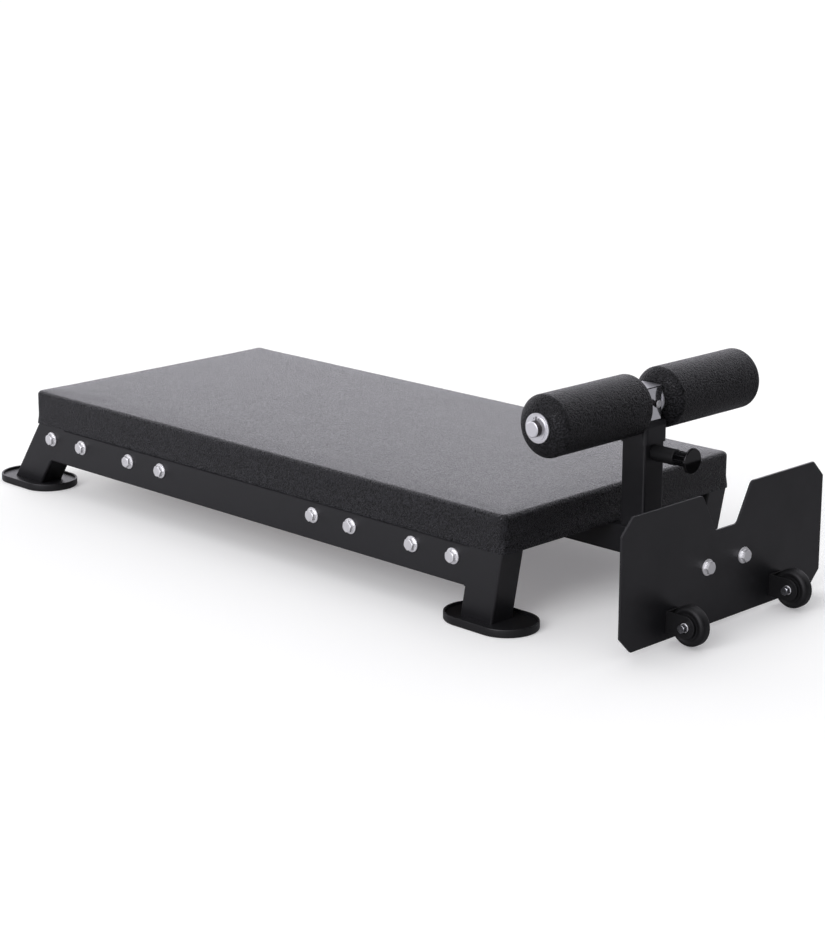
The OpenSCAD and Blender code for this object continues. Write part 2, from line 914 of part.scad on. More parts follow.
// Coil spring between the plunger's collar and the barrel's end
spring_sides = 6;
spring_rings_per_turn = 8;
module pin_spring() {
    rings = spring_turns * spring_rings_per_turn;
    mean_radius = (barrel_bore / 2 + stem_diameter / 2) / 2;
    length = spring_stop - spring_start - spring_wire - 2 * running_clearance;
    points = [for (i = [0 : rings], j = [0 : spring_sides - 1])
        let (
            around = 360 * i / spring_rings_per_turn,
            tilt = 360 * j / spring_sides,
            radius = mean_radius + spring_wire / 2 * cos(tilt)
        )
        [
            length * i / rings + spring_wire / 2 * sin(tilt),
            radius * cos(around),
            radius * sin(around)
        ]];
    skin = [for (i = [0 : rings - 1], j = [0 : spring_sides - 1])
        let (
            next = (j + 1) % spring_sides,
            here = i * spring_sides,
            there = here + spring_sides
        )
        each [[here + j, there + j, there + next], [here + j, there + next, here + next]]];
    start_cap = [for (j = [1 : spring_sides - 2]) [0, j, j + 1]];
    last = rings * spring_sides;
    end_cap = [for (j = [1 : spring_sides - 2]) [last, last + j + 1, last + j]];
    color(bright_steel)
        translate([spring_start + spring_wire / 2 + running_clearance, 0, pin_z])
            polyhedron(points, concat(skin, start_cap, end_cap));
}

// Folded clevis on the foot plate's front that holds one wheel
module wheel_bracket(y) {
    color(frame_black)
        difference() {
            union() {
                translate([plate_front, y - bracket_width / 2, axle_height - bracket_height / 2])
                    cube([bracket_thickness, bracket_width, bracket_height]);
                for (side = [-1, 1])
                    translate([0, y + side * (bracket_inside + bracket_thickness) / 2, axle_height]) {
                        translate([plate_front, -bracket_thickness / 2, -bracket_height / 2])
                            cube([axle_reach, bracket_thickness, bracket_height]);
                        translate([axle_x, bracket_thickness / 2, 0])
                            along_y()
                                cylinder(d = bracket_height, h = bracket_thickness);
                    }
            }
            translate([axle_x, y + bracket_width, axle_height])
                along_y()
                    cylinder(r = small_bolt / 2 + running_clearance, h = 2 * bracket_width);
        }
}

module wheel_bracket_near() {
    wheel_bracket(-wheel_place);
}

module wheel_bracket_far() {
    wheel_bracket(wheel_place);
}

// Both axles' places, at the near face of each bracket
module axle_places() {
    for (side = [-1, 1])
        translate([axle_x, side * wheel_place - bracket_width / 2, axle_height])
            children();
}

module axle_bolts() {
    color(bright_steel)
        axle_places()
            translate([0, -small_washer_thickness, 0])
                along_y()
                    hex_bolt(small_bolt, bracket_width + small_bolt_extra, small_hex_width, axle_head_height);
}

module axle_washers() {
    color(bright_steel)
        axle_places()
            for (y = [0, bracket_width + small_washer_thickness])
                translate([0, y, 0])
                    along_y()
                        washer(small_bolt, small_washer, small_washer_thickness);
}

module axle_nuts() {
    color(bright_steel)
        axle_places()
            translate([0, bracket_width + small_washer_thickness + small_nut_height, 0])
                along_y()
                    hex_nut(small_bolt, small_hex_width, small_nut_height);
}

// One ring of the cushion: a rounded rectangle that draws in between its corners
corner_steps = 4;
long_steps = 9;
short_steps = 5;
function ring_side(from, to, steps, inward) =
    [for (i = [1 : steps - 1])
        let (u = i / steps)
        from + (to - from) * u + inward * (4 * u * (1 - u))];
function ring_corner(centre, radius, start) =
    [for (i = [0 : corner_steps])
        centre + radius * [cos(start + 90 * i / corner_steps), sin(start + 90 * i / corner_steps)]];
function cushion_ring(inset, z, draw_in) =
    let (
        radius = max(pad_corner_radius - inset, pad_corner_radius / 4),
        x = pad_length / 2 - inset - radius,
        y = pad_width / 2 - inset - radius,
        outline = concat(
            ring_corner([x, y], radius, 0),
            ring_side([x, y + radius], [-x, y + radius], long_steps, [0, -draw_in]),
            ring_corner([-x, y], radius, 90),
            ring_side([-x - radius, y], [-x - radius, -y], short_steps, [draw_in, 0]),
            ring_corner([-x, -y], radius, 180),
            ring_side([-x, -y - radius], [x, -y - radius], long_steps, [0, draw_in]),
            ring_corner([x, -y], radius, 270),
            ring_side([x + radius, -y], [x + radius, y], short_steps, [-draw_in, 0])
        )
    )
    [for (p = outline) [p[0], p[1], z]];

// Cushion: crowned top, sides that draw in, and a pocket below for the board
edge_steps = 4;
crown_rings = 4;
module pad_cushion() {
    top = pad_thickness;
    crown_start = pad_edge_radius;
    crown_span = pad_width / 2 - crown_start;
    profile = concat(
        [[board_margin, board_thickness, 0], [board_margin, 0, 0]],
        [for (i = [0 : edge_steps / 2])
            let (angle = 90 * i / (edge_steps / 2))
            [pad_lower_radius * (1 - sin(angle)), pad_lower_radius * (1 - cos(angle)), pad_draw_in]],
        [for (i = [0 : edge_steps])
            let (angle = 90 * i / edge_steps)
            [pad_edge_radius * (1 - cos(angle)), top - pad_edge_radius * (1 - sin(angle)), pad_draw_in]],
        [for (i = [1 : crown_rings - 1])
            let (share = i / crown_rings)
            [crown_start + crown_span * share, top + pad_crown * (1 - pow(1 - share, 2)), pad_draw_in * (1 - share)]]
    );
    rings = [for (p = profile) cushion_ring(p[0], p[1], p[2])];
    count = len(rings[0]);
    low_pole = len(rings) * count;
    high_pole = low_pole + 1;
    points = concat(
        [for (ring = rings) each ring],
        [[0, 0, board_thickness], [0, 0, top + pad_crown]]
    );
    skin = [for (i = [0 : len(rings) - 2], j = [0 : count - 1])
        let (
            next = (j + 1) % count,
            here = i * count,
            there = here + count
        )
        each [[here + j, there + j, there + next], [here + j, there + next, here + next]]];
    low_fan = [for (j = [0 : count - 1]) [low_pole, j, (j + 1) % count]];
    last = (len(rings) - 1) * count;
    high_fan = [for (j = [0 : count - 1]) [high_pole, last + (j + 1) % count, last + j]];
    color(pad_black)
        translate([(head_end + foot_end) / 2, 0, deck_height])
            polyhedron(points, concat(skin, low_fan, high_fan));
}

// The pad's eight bolt places, at the height of the deck
module pad_bolt_places() {
    for (x = member_places, side = [-1, 1])
        translate([x, side * pad_bolt_place, deck_height])
            children();
}

// Tee nut: flange let into the board's upper face, barrel in its hole
tee_flange_thickness = 1.5;
tee_wall = 1.5;
tee_barrel = small_bolt + 2 * tee_wall;
module pad_board() {
    color(board_tan)
        difference() {
            translate([(head_end + foot_end) / 2, 0, deck_height])
                linear_extrude(board_thickness)
                    rounded_square(
                        pad_length - 2 * (board_margin + fitting_clearance),
                        pad_width - 2 * (board_margin + fitting_clearance),
                        pad_corner_radius / 4
                    );
            pad_bolt_places() {
                translate([0, 0, -cut])
                    cylinder(r = tee_barrel / 2 + running_clearance, h = board_thickness + 2 * cut);
                translate([0, 0, board_thickness - tee_flange_thickness])
                    cylinder(r = tee_flange / 2 + running_clearance, h = tee_flange_thickness + cut);
            }
        }
}

module pad_tee_nuts() {
    depth = board_thickness - fitting_clearance;
    color(bright_steel)
        pad_bolt_places()
            translate([0, 0, fitting_clearance])
                difference() {
                    union() {
                        cylinder(d = tee_barrel, h = depth);
                        translate([0, 0, depth - tee_flange_thickness])
                            cylinder(d = tee_flange, h = tee_flange_thickness);
                    }
                    translate([0, 0, -cut])
                        cylinder(r = small_bolt / 2 + running_clearance, h = depth + 2 * cut);
                }
}

// Pad bolts from below, through the cross members into the tee nuts
module pad_bolts() {
    color(bright_steel)
        pad_bolt_places()
            translate([0, 0, -member_size])
                mirror([0, 0, 1])
                    hex_bolt(
                        small_bolt, member_size + board_thickness - tee_flange_thickness,
                        small_hex_width, small_head_height
                    );
}

// Chromed square tube with its height holes and the roller shaft's holes
module lift_tube() {
    color(chrome_bright)
        difference() {
            translate([post_x, 0, lift_tube_bottom])
                tube(lift_tube_size, lift_tube_size, lift_tube_wall, lift_tube_corner, lift_tube_length);
            translate([post_x, lift_tube_size, roller_z])
                along_y()
                    cylinder(r = shaft_bore, h = 2 * lift_tube_size);
            translate([post_x - lift_tube_size, 0, roller_z])
                along_x()
                    cylinder(r = small_bolt / 2 + running_clearance, h = 2 * lift_tube_size);
            for (i = [0 : setting_count - 1])
                translate([post_x, 0, pin_z - i * setting_pitch])
                    along_x()
                        cylinder(r = pin_nose / 2 + nose_clearance, h = lift_tube_size);
        }
}

// Flat cap: its plate stands a hair off the tube's end, on a plug inside it
cap_gap = 0.4;
module lift_tube_cap() {
    plug = lift_tube_size - 2 * lift_tube_wall - 2 * running_clearance;
    color(chrome_bright)
        translate([post_x, 0, lift_tube_top]) {
            translate([0, 0, cap_gap])
                linear_extrude(tube_cap_thickness)
                    rounded_square(lift_tube_size, lift_tube_size, lift_tube_corner);
            translate([0, 0, -tube_cap_plug])
                linear_extrude(tube_cap_plug + cap_gap)
                    rounded_square(plug, plug, lift_tube_corner - lift_tube_wall + running_clearance);
        }
}

// Roller shaft with chamfered ends, ring grooves and the lock screw's hole
shaft_chamfer = 1.2;
module roller_shaft() {
    radius = shaft_diameter / 2;
    groove_radius = radius - groove_depth;
    groove_end = groove_y + retaining_ring_thickness + 2 * running_clearance;
    half = [
        [shaft_half, 0],
        [shaft_half, radius - shaft_chamfer],
        [shaft_half - shaft_chamfer, radius],
        [groove_end, radius],
        [groove_end, groove_radius],
        [groove_y - running_clearance, groove_radius],
        [groove_y - running_clearance, radius]
    ];
    upper = [for (p = half) [p[1], p[0]]];
    lower = [for (i = [len(half) - 1 : -1 : 0]) [half[i][1], -half[i][0]]];
    color(bright_steel)
        translate([post_x, 0, roller_z])
            difference() {
                rotate([90, 0, 0])
                    rotate_extrude()
                        polygon(concat(upper, lower));
                translate([-shaft_diameter, 0, 0])
                    along_x()
                        cylinder(r = small_bolt / 2 + running_clearance, h = 2 * shaft_diameter);
            }
}

// Cross screw with a round head on the lift tube's front
module shaft_lock_screw() {
    length = lock_head_gap + lift_tube_size + small_nut_height + thread_end;
    color(chrome_bright)
        translate([post_x + lift_tube_size / 2 + lock_head_gap, 0, roller_z])
            along_x() {
                cylinder(d = lock_head, h = lock_head_height);
                translate([0, 0, -length])
                    cylinder(d = small_bolt, h = length);
            }
}

module shaft_lock_nut() {
    color(bright_steel)
        translate([post_x - lift_tube_size / 2 - small_nut_height, 0, roller_z])
            along_x()
                hex_nut(small_bolt, small_hex_width, small_nut_height);
}

// Both places on the shaft at a distance from the bench's middle line
module shaft_places(y) {
    both_sides()
        translate([post_x, -y, roller_z])
            along_y()
                children();
}

module inner_washers() {
    color(chrome_bright)
        shaft_places(inner_washer_y)
            washer(shaft_diameter, roller_washer, roller_washer_thickness);
}

module outer_washers() {
    color(chrome_bright)
        shaft_places(outer_washer_y)
            washer(shaft_diameter, roller_washer, roller_washer_thickness);
}

// Split rings in the shaft's grooves, with plier holes beside the slit
ring_slit = 2.5;
plier_hole = 2;
module retaining_rings() {
    inner = shaft_diameter / 2 - groove_depth + running_clearance;
    hole_place = (inner + retaining_ring / 2) / 2;
    color(chrome_bright)
        shaft_places(groove_y)
            difference() {
                cylinder(d = retaining_ring, h = retaining_ring_thickness);
                translate([0, 0, -cut])
                    cylinder(r = inner, h = retaining_ring_thickness + 2 * cut);
                translate([-ring_slit / 2, 0, -cut])
                    cube([ring_slit, retaining_ring, retaining_ring_thickness + 2 * cut]);
                for (side = [-1, 1])
                    translate([side * (ring_slit + plier_hole), hole_place, -cut])
                        cylinder(d = plier_hole, h = retaining_ring_thickness + 2 * cut);
            }
}

// Foam roll with softly rounded ends, bored for its sleeve
roller_end_steps = 6;
module roller_foam() {
    bore = sleeve_diameter / 2 + running_clearance;
    end_curve = [for (i = [0 : roller_end_steps])
        let (
            angle = 90 * i / roller_end_steps,
            radius = roller_end_flat / 2 + roller_end_drop * pow(cos(angle), 2 / roller_end_power)
        )
        [radius, end_draw(radius)]];
    near_end = [for (i = [roller_end_steps : -1 : 0]) end_curve[i]];
    far_end = [for (p = end_curve) [p[0], roller_length - p[1]]];
    translate([post_x, -roller_inner_y, roller_z])
        along_y()
            rotate_extrude()
                polygon(concat([[bore, 0]], near_end, far_end, [[bore, roller_length]]));
}

// Core sleeve that runs on the shaft
module roller_sleeve() {
    translate([post_x, -roller_inner_y, roller_z])
        along_y()
            difference() {
                cylinder(d = sleeve_diameter, h = roller_length);
                translate([0, 0, -cut])
                    cylinder(r = shaft_bore, h = roller_length + 2 * cut);
            }
}

module roller_foam_near() {
    color(roller_black)
        roller_foam();
}

module roller_sleeve_near() {
    color(plastic_black)
        roller_sleeve();
}

module roller_foam_far() {
    color(roller_black)
        far_side()
            roller_foam();
}

module roller_sleeve_far() {
    color(plastic_black)
        far_side()
            roller_sleeve();
}

// Nose, collar and stem of the pull pin
nose_chamfer = 1;
module pin_plunger() {
    collar_radius = barrel_bore / 2 - 2 * running_clearance;
    stem_end = knob_start + stem_hold;
    color(bright_steel)
        translate([0, 0, pin_z])
            along_x()
                rotate_extrude()
                    polygon([
                        [0, nose_tip],
                        [pin_nose / 2 - nose_chamfer, nose_tip],
                        [pin_nose / 2, nose_tip + nose_chamfer],
                        [pin_nose / 2, plunger_collar],
                        [collar_radius, plunger_collar],
                        [collar_radius, spring_start],
                        [stem_diameter / 2, spring_start],
                        [stem_diameter / 2, stem_end],
                        [0, stem_end]
                    ]);
}

// Knob: fluted neck and a thin disc with a bevelled rim
disc_bevel = 1.2;
flute_radius = 3;
module pin_knob() {
    neck_length = knob_length - knob_disc_thickness;
    hole = stem_diameter / 2 + running_clearance;
    color(plastic_black)
        translate([knob_start, 0, pin_z])
            along_x() {
                linear_extrude(stem_hold)
                    difference() {
                        knob_section();
                        circle(hole);
                    }
                translate([0, 0, stem_hold])
                    linear_extrude(neck_length - stem_hold)
                        knob_section();
                translate([0, 0, neck_length])
                    rotate_extrude()
                        polygon([
                            [0, 0],
                            [knob_disc / 2, 0],
                            [knob_disc / 2, knob_disc_thickness - disc_bevel],
                            [knob_disc / 2 - disc_bevel, knob_disc_thickness],
                            [0, knob_disc_thickness]
                        ]);
            }
}

// Outline of the knob's neck with its flutes
module knob_section() {
    difference() {
        circle(knob_neck / 2);
        for (i = [0 : flute_count - 1])
            rotate(360 * i / flute_count)
                translate([knob_neck / 2 + flute_radius / 2, 0])
                    circle(flute_radius);
    }
}

// Rounded tyre on its hub
module tyre(y) {
    outer = wheel_diameter / 2;
    inner = hub_diameter / 2;
    half = tyre_width / 2;
    color(rubber_black)
        translate([axle_x, y, axle_height])
            along_y()
                rotate_extrude()
                    polygon(rounded_outline([
                        [inner, -half, 1],
                        [outer, -half, tyre_shoulder],
                        [outer, half, tyre_shoulder],
                        [inner, half, 1]
                    ]));
}

// Hub: centre boss on the bolt, thinner web and a rim under the tyre
boss_radius = 9.5;
rim_thickness = 3;
web_share = 0.6;
module hub(y) {
    outer = hub_diameter / 2 - running_clearance;
    rim_inner = outer - rim_thickness;
    bore = small_bolt / 2 + running_clearance;
    half = hub_width / 2;
    rim_half = tyre_width / 2 - 1;
    web_half = rim_half * web_share;
    upper = [
        [bore, half],
        [boss_radius, half],
        [boss_radius, web_half],
        [rim_inner, web_half],
        [rim_inner, rim_half],
        [outer, rim_half]
    ];
    lower = [for (i = [len(upper) - 1 : -1 : 0]) [upper[i][0], -upper[i][1]]];
    color(plastic_black)
        translate([axle_x, y, axle_height])
            along_y()
                rotate_extrude()
                    polygon(concat(upper, lower));
}

module tyre_near() {
    tyre(-wheel_place);
}

module hub_near() {
    hub(-wheel_place);
}

module tyre_far() {
    tyre(wheel_place);
}

module hub_far() {
    hub(wheel_place);
}

rail_near();
rail_far();
head_leg_near();
head_leg_far();
foot_leg_near();
foot_leg_far();
head_cup_near();
head_cup_far();
foot_cup_near();
foot_cup_far();
head_cross_member();
second_cross_member();
third_cross_member();
foot_cross_member();
rail_bolts();
rail_washers();
rail_nuts();
centre_beam();
beam_bolts();
beam_washers();
beam_nuts();
foot_plate();
plate_bolts();
plate_washers();
plate_nuts();
post();
post_bushing();
pin_barrel();
pin_spring();
wheel_bracket_near();
wheel_bracket_far();
axle_bolts();
axle_washers();
axle_nuts();
pad_cushion();
pad_board();
pad_tee_nuts();
pad_bolts();
lift_tube();
lift_tube_cap();
roller_shaft();
shaft_lock_screw();
shaft_lock_nut();
inner_washers();
outer_washers();
retaining_rings();
roller_foam_near();
roller_sleeve_near();
roller_foam_far();
roller_sleeve_far();
pin_plunger();
pin_knob();
tyre_near();
hub_near();
tyre_far();
hub_far();
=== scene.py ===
"""Looks of a floor-level glute ham bench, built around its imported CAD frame.

The CAD nodes set the sizes and places. Steel pieces keep their CAD shape, as copies whose edges are
broken the way sheet metal and tube are, but the pull pin's barrel is drawn longer. The cushion, the
foam rollers, the rubber cups, the wheels, the lock screw and all the other fasteners are meshes of
their own that stand for their CAD nodes.
"""

import logging
import math
from dataclasses import dataclass
from enum import Enum

import bmesh
import bpy
from mathutils import Matrix, Vector, noise


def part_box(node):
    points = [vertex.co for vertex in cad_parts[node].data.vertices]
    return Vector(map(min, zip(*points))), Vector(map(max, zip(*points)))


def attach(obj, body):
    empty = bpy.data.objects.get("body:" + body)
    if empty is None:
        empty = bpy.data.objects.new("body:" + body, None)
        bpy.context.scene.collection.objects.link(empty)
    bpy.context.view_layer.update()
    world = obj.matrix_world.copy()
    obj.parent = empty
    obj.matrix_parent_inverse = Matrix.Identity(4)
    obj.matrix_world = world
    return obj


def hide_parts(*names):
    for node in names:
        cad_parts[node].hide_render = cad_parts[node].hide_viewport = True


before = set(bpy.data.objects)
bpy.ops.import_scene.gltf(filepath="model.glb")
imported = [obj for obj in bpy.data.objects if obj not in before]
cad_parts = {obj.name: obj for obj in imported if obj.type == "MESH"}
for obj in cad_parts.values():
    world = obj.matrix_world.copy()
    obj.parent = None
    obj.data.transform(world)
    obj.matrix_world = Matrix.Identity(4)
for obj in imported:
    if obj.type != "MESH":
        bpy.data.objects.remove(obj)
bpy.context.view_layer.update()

LOG = logging.getLogger("bench")

MM = 0.001
# A length that counts as none, in metres, and one that tells two mesh lines apart
TINY = 1e-7
CLOSE = 1e-6
# Points closer than this are one: in a CAD node's loose triangles and in grown fasteners
CAD_MERGE_MM = 0.004
GROWN_MERGE_MM = 0.002
# Points this near to a plane lie in it
LEVEL_MM = 0.05
# A face whose normal has at least this share along a direction looks that way
FACING = 0.999
# A face whose normal is this near to an axis looks along it, for a piece whose other faces get painted
# shade
ALONG_DEG = 60
# Edges sharper than this stay sharp, and a bevel breaks them
SHARP_DEG = 35.0
# Neighbouring CAD faces that turn less than this are joined to one
FLAT_DEG = 0.3
# How much of a shared normal big faces keep, in percent
FACE_WEIGHT = 80
# Digits of a metre by which a node's solids are put in order
SORT_DIGITS = 4
# Share of a hexagon's width at which its corners begin to be turned off, and the angle of the
# turning cone to its axis
FLAT_SHARE = 0.475
CONE_DEG = 60
# Faces round that cone, and round a shank or a bore
CONE_STEPS = 48
BORE_STEPS = 32
# Half of the turn from a flat face to an upright one
EIGHTH_DEG = 45
# Where most values of a noise texture lie
NOISE_LOW = 0.3
NOISE_HIGH = 0.7
# Steps of the cloth simulation, and how the covers' cloth behaves in it
SWELL_FRAMES = 20
COVER_CLOTH = {
    "quality": 5,
    "tension_stiffness": 40,
    "compression_stiffness": 40,
    "shear_stiffness": 20,
    "bending_stiffness": 6,
    "air_damping": 4,
    "use_pressure": True,
}


class Side(Enum):
    """The two sides of the bench, with the sign of their Y."""

    NEAR = -1
    FAR = 1

    @property
    def word(self) -> str:
        """The side's word in node names."""
        return self.name.lower()


class Axis(Enum):
    """An axis of the frame that a turned piece lies along."""

    X = (1.0, 0.0, 0.0)
    Y = (0.0, 1.0, 0.0)
    Z = (0.0, 0.0, 1.0)

    @property
    def index(self) -> int:
        """The axis's place in a point."""
        return "XYZ".index(self.name)


# Colours and nodes


def linear(hex_colour: str) -> tuple[float, float, float, float]:
    """Turns an sRGB hex colour to the linear one that shaders take.

    Args:
        hex_colour: Six hex digits, with or without a leading hash.

    Returns:
        Linear red, green, blue and an alpha of 1.
    """
    digits = hex_colour.lstrip("#")
    parts = [int(digits[i:i + 2], 16) / 255 for i in (0, 2, 4)]
    turned = [p / 12.92 if p <= 0.04045 else ((p + 0.055) / 1.055) ** 2.4 for p in parts]
    return (turned[0], turned[1], turned[2], 1.0)


def add(tree: bpy.types.NodeTree, kind: str, inputs: dict | None = None, **settings) -> bpy.types.Node:
    """Adds one node to a tree, with its settings and links.

    Args:
        tree: The node tree that gets the node.
        kind: The node's type name.
        inputs: Input name or place, with the value it holds or the socket that feeds it.
        **settings: Attributes of the node.

    Returns:
        The new node.
    """
    node = tree.nodes.new(kind)
    for name, value in settings.items():
        setattr(node, name, value)
    for name, value in (inputs or {}).items():
        if isinstance(value, bpy.types.NodeSocket):
            tree.links.new(value, node.inputs[name])
        else:
            node.inputs[name].default_value = value
    return node


def per_metre(spacing_mm: float) -> float:
    """Pattern scale that repeats once in a spacing given in millimetres."""
    return 1000.0 / spacing_mm


# Finishes


class Finish:
    """A surface finish that makes its material once.

    A pixel of the picture covers about 1.8 mm. Grain, haze and peel that are finer on the real
    pieces are drawn coarser, and deeper too, so that they show.
    """

    name: str

    def shade(self, tree: bpy.types.NodeTree) -> bpy.types.Node:
        """Builds the finish's shader in a tree and returns the shader node."""
        raise NotImplementedError

    def material(self) -> bpy.types.Material:
        """Makes the material, or finds it if it is there already.

        Returns:
            The finish's material.
        """
        found = bpy.data.materials.get(self.name)
        if found is not None:
            return found
        made = bpy.data.materials.new(self.name)
        made.use_nodes = True
        made.node_tree.nodes.clear()
        shader = self.shade(made.node_tree)
        add(made.node_tree, "ShaderNodeOutputMaterial", {"Surface": shader.outputs[0]})
        return made


@dataclass(frozen=True)
class GrainedFinish(Finish):
    """A finish with one even random grain that roughens and embosses it."""

    name: str
    colour: str
    roughness: float
    roughness_spread: float
    grain_mm: float
    grain_depth_mm: float

    def skin(self, tree: bpy.types.NodeTree, detail: float, gain: float) -> dict:
        """Builds the grain.

        Args:
            tree: The material's node tree.
            detail: How many finer layers the grain has.
            gain: How strong each finer layer is.

        Returns:
            The shader inputs for colour, roughness and normal.
        """
        place = add(tree, "ShaderNodeTexCoord").outputs["Object"]
        grain = add(tree, "ShaderNodeTexNoise", {
            "Vector": place, "Scale": per_metre(self.grain_mm), "Detail": detail,
            "Roughness": gain})
        rough = add(tree, "ShaderNodeMapRange", {
            "Value": grain.outputs["Fac"], "From Min": NOISE_LOW, "From Max": NOISE_HIGH,
            "To Min": self.roughness - self.roughness_spread,
            "To Max": self.roughness + self.roughness_spread})
        bump = add(tree, "ShaderNodeBump", {
            "Height": grain.outputs["Fac"], "Strength": 1.0,
            "Distance": self.grain_depth_mm * MM})
        return {
            "Base Color": linear(self.colour), "Roughness": rough.outputs["Result"],
            "Normal": bump.outputs["Normal"]}


@dataclass(frozen=True)
class PowderCoat(Finish):
    """Polyester powder sprayed and baked on steel.

    It gives the eye a deep matte black with a soft wide gloss, a faint orange peel and slight
    cloudiness where the coat is thicker.
    """

    name: str
    colour: str
    roughness: float = 0.42
    peel_mm: float = 2.2
    peel_depth_mm: float = 0.012
    cloud_mm: float = 60.0
    roughness_spread: float = 0.05
    ior: float = 1.5

    def shade(self, tree: bpy.types.NodeTree) -> bpy.types.Node:
        """Builds the coat.

        Args:
            tree: The material's node tree.

        Returns:
            The shader node.
        """
        place = add(tree, "ShaderNodeTexCoord").outputs["Object"]
        peel = add(tree, "ShaderNodeTexNoise", {
            "Vector": place, "Scale": per_metre(self.peel_mm), "Detail": 2.0, "Roughness": 0.5})
        cloud = add(tree, "ShaderNodeTexNoise", {
            "Vector": place, "Scale": per_metre(self.cloud_mm), "Detail": 3.0, "Roughness": 0.6})
        rough = add(tree, "ShaderNodeMapRange", {
            "Value": cloud.outputs["Fac"], "From Min": NOISE_LOW, "From Max": NOISE_HIGH,
            "To Min": self.roughness - self.roughness_spread,
            "To Max": self.roughness + self.roughness_spread})
        bump = add(tree, "ShaderNodeBump", {
            "Height": peel.outputs["Fac"], "Strength": 1.0, "Distance": self.peel_depth_mm * MM})
        return add(tree, "ShaderNodeBsdfPrincipled", {
            "Base Color": linear(self.colour), "Roughness": rough.outputs["Result"],
            "Normal": bump.outputs["Normal"], "IOR": self.ior})


@dataclass(frozen=True)
class SyntheticLeather(Finish):
    """Polyurethane skin embossed on a roller and laminated to knit cloth.

    It gives the eye short wandering ridges between fine creases, a soft grey sheen at a flat
    angle and near black straight on. The creases are darkened by painted shade.
    """

    name: str
    colour: str
    crease_shade_colour: str
    grain_mm: float
    grain_depth_mm: float
    fine_mm: float
    fine_depth_mm: float
    roughness: float = 0.5
    roughness_spread: float = 0.06
    warp: float = 0.5
    ior: float = 1.48
    crease_level: float = 0.36
    ridge_level: float = 0.62

    def shade(self, tree: bpy.types.NodeTree) -> bpy.types.Node:
        """Builds the embossed skin.

        Args:
            tree: The material's node tree.

        Returns:
            The shader node.
        """
        place = add(tree, "ShaderNodeTexCoord").outputs["Object"]
        worms = add(tree, "ShaderNodeTexNoise", {
            "Vector": place, "Scale": per_metre(self.grain_mm), "Detail": 0.6, "Roughness": 0.4,
            "Distortion": self.warp})
        domes = add(tree, "ShaderNodeMapRange", {
            "Value": worms.outputs["Fac"], "From Min": self.crease_level,
            "From Max": self.ridge_level}, interpolation_type="SMOOTHSTEP")
        fine = add(tree, "ShaderNodeTexNoise", {
            "Vector": place, "Scale": per_metre(self.fine_mm), "Detail": 3.0, "Roughness": 0.6})
        # Painted shade: where the emboss is low, the colour is mixed towards the darker crease shade
        # colour
        tint = add(tree, "ShaderNodeMix", {
            0: domes.outputs["Result"], 6: linear(self.crease_shade_colour), 7: linear(self.colour)},
            data_type="RGBA")
        rough = add(tree, "ShaderNodeMapRange", {
            "Value": fine.outputs["Fac"], "From Min": NOISE_LOW, "From Max": NOISE_HIGH,
            "To Min": self.roughness - self.roughness_spread,
            "To Max": self.roughness + self.roughness_spread})
        emboss = add(tree, "ShaderNodeBump", {
            "Height": domes.outputs["Result"], "Strength": 1.0, "Distance": self.grain_depth_mm * MM})
        pores = add(tree, "ShaderNodeBump", {
            "Height": fine.outputs["Fac"], "Strength": 1.0, "Distance": self.fine_depth_mm * MM,
            "Normal": emboss.outputs["Normal"]})
        return add(tree, "ShaderNodeBsdfPrincipled", {
            "Base Color": tint.outputs[2], "Roughness": rough.outputs["Result"],
            "Normal": pores.outputs["Normal"], "IOR": self.ior})


@dataclass(frozen=True)
class PlatedSteel(GrainedFinish):
    """Steel with an electroplated skin, zinc, nickel or chromium, or a dark steel for painted shade.

    Zinc gives the eye a pale silver with a soft blur and fine random haze. Chromium gives it a
    colder mirror with only the faintest polishing marks.
    """

    def shade(self, tree: bpy.types.NodeTree) -> bpy.types.Node:
        """Builds the metal with its haze."""
        return add(tree, "ShaderNodeBsdfPrincipled", {"Metallic": 1.0, **self.skin(tree, 4.0, 0.65)})


@dataclass(frozen=True)
class MouldedPolymer(GrainedFinish):
    """Rubber or nylon moulded in a tool, from a matte cup to a glossy knob.

    It gives the eye the tool's own texture: spark-eroded grain on the matte pieces, and a still
    black gloss with slow waves on the polished ones.
    """

    ior: float = 1.5

    def shade(self, tree: bpy.types.NodeTree) -> bpy.types.Node:
        """Builds the moulded skin."""
        return add(tree, "ShaderNodeBsdfPrincipled", {"IOR": self.ior, **self.skin(tree, 3.0, 0.6)})


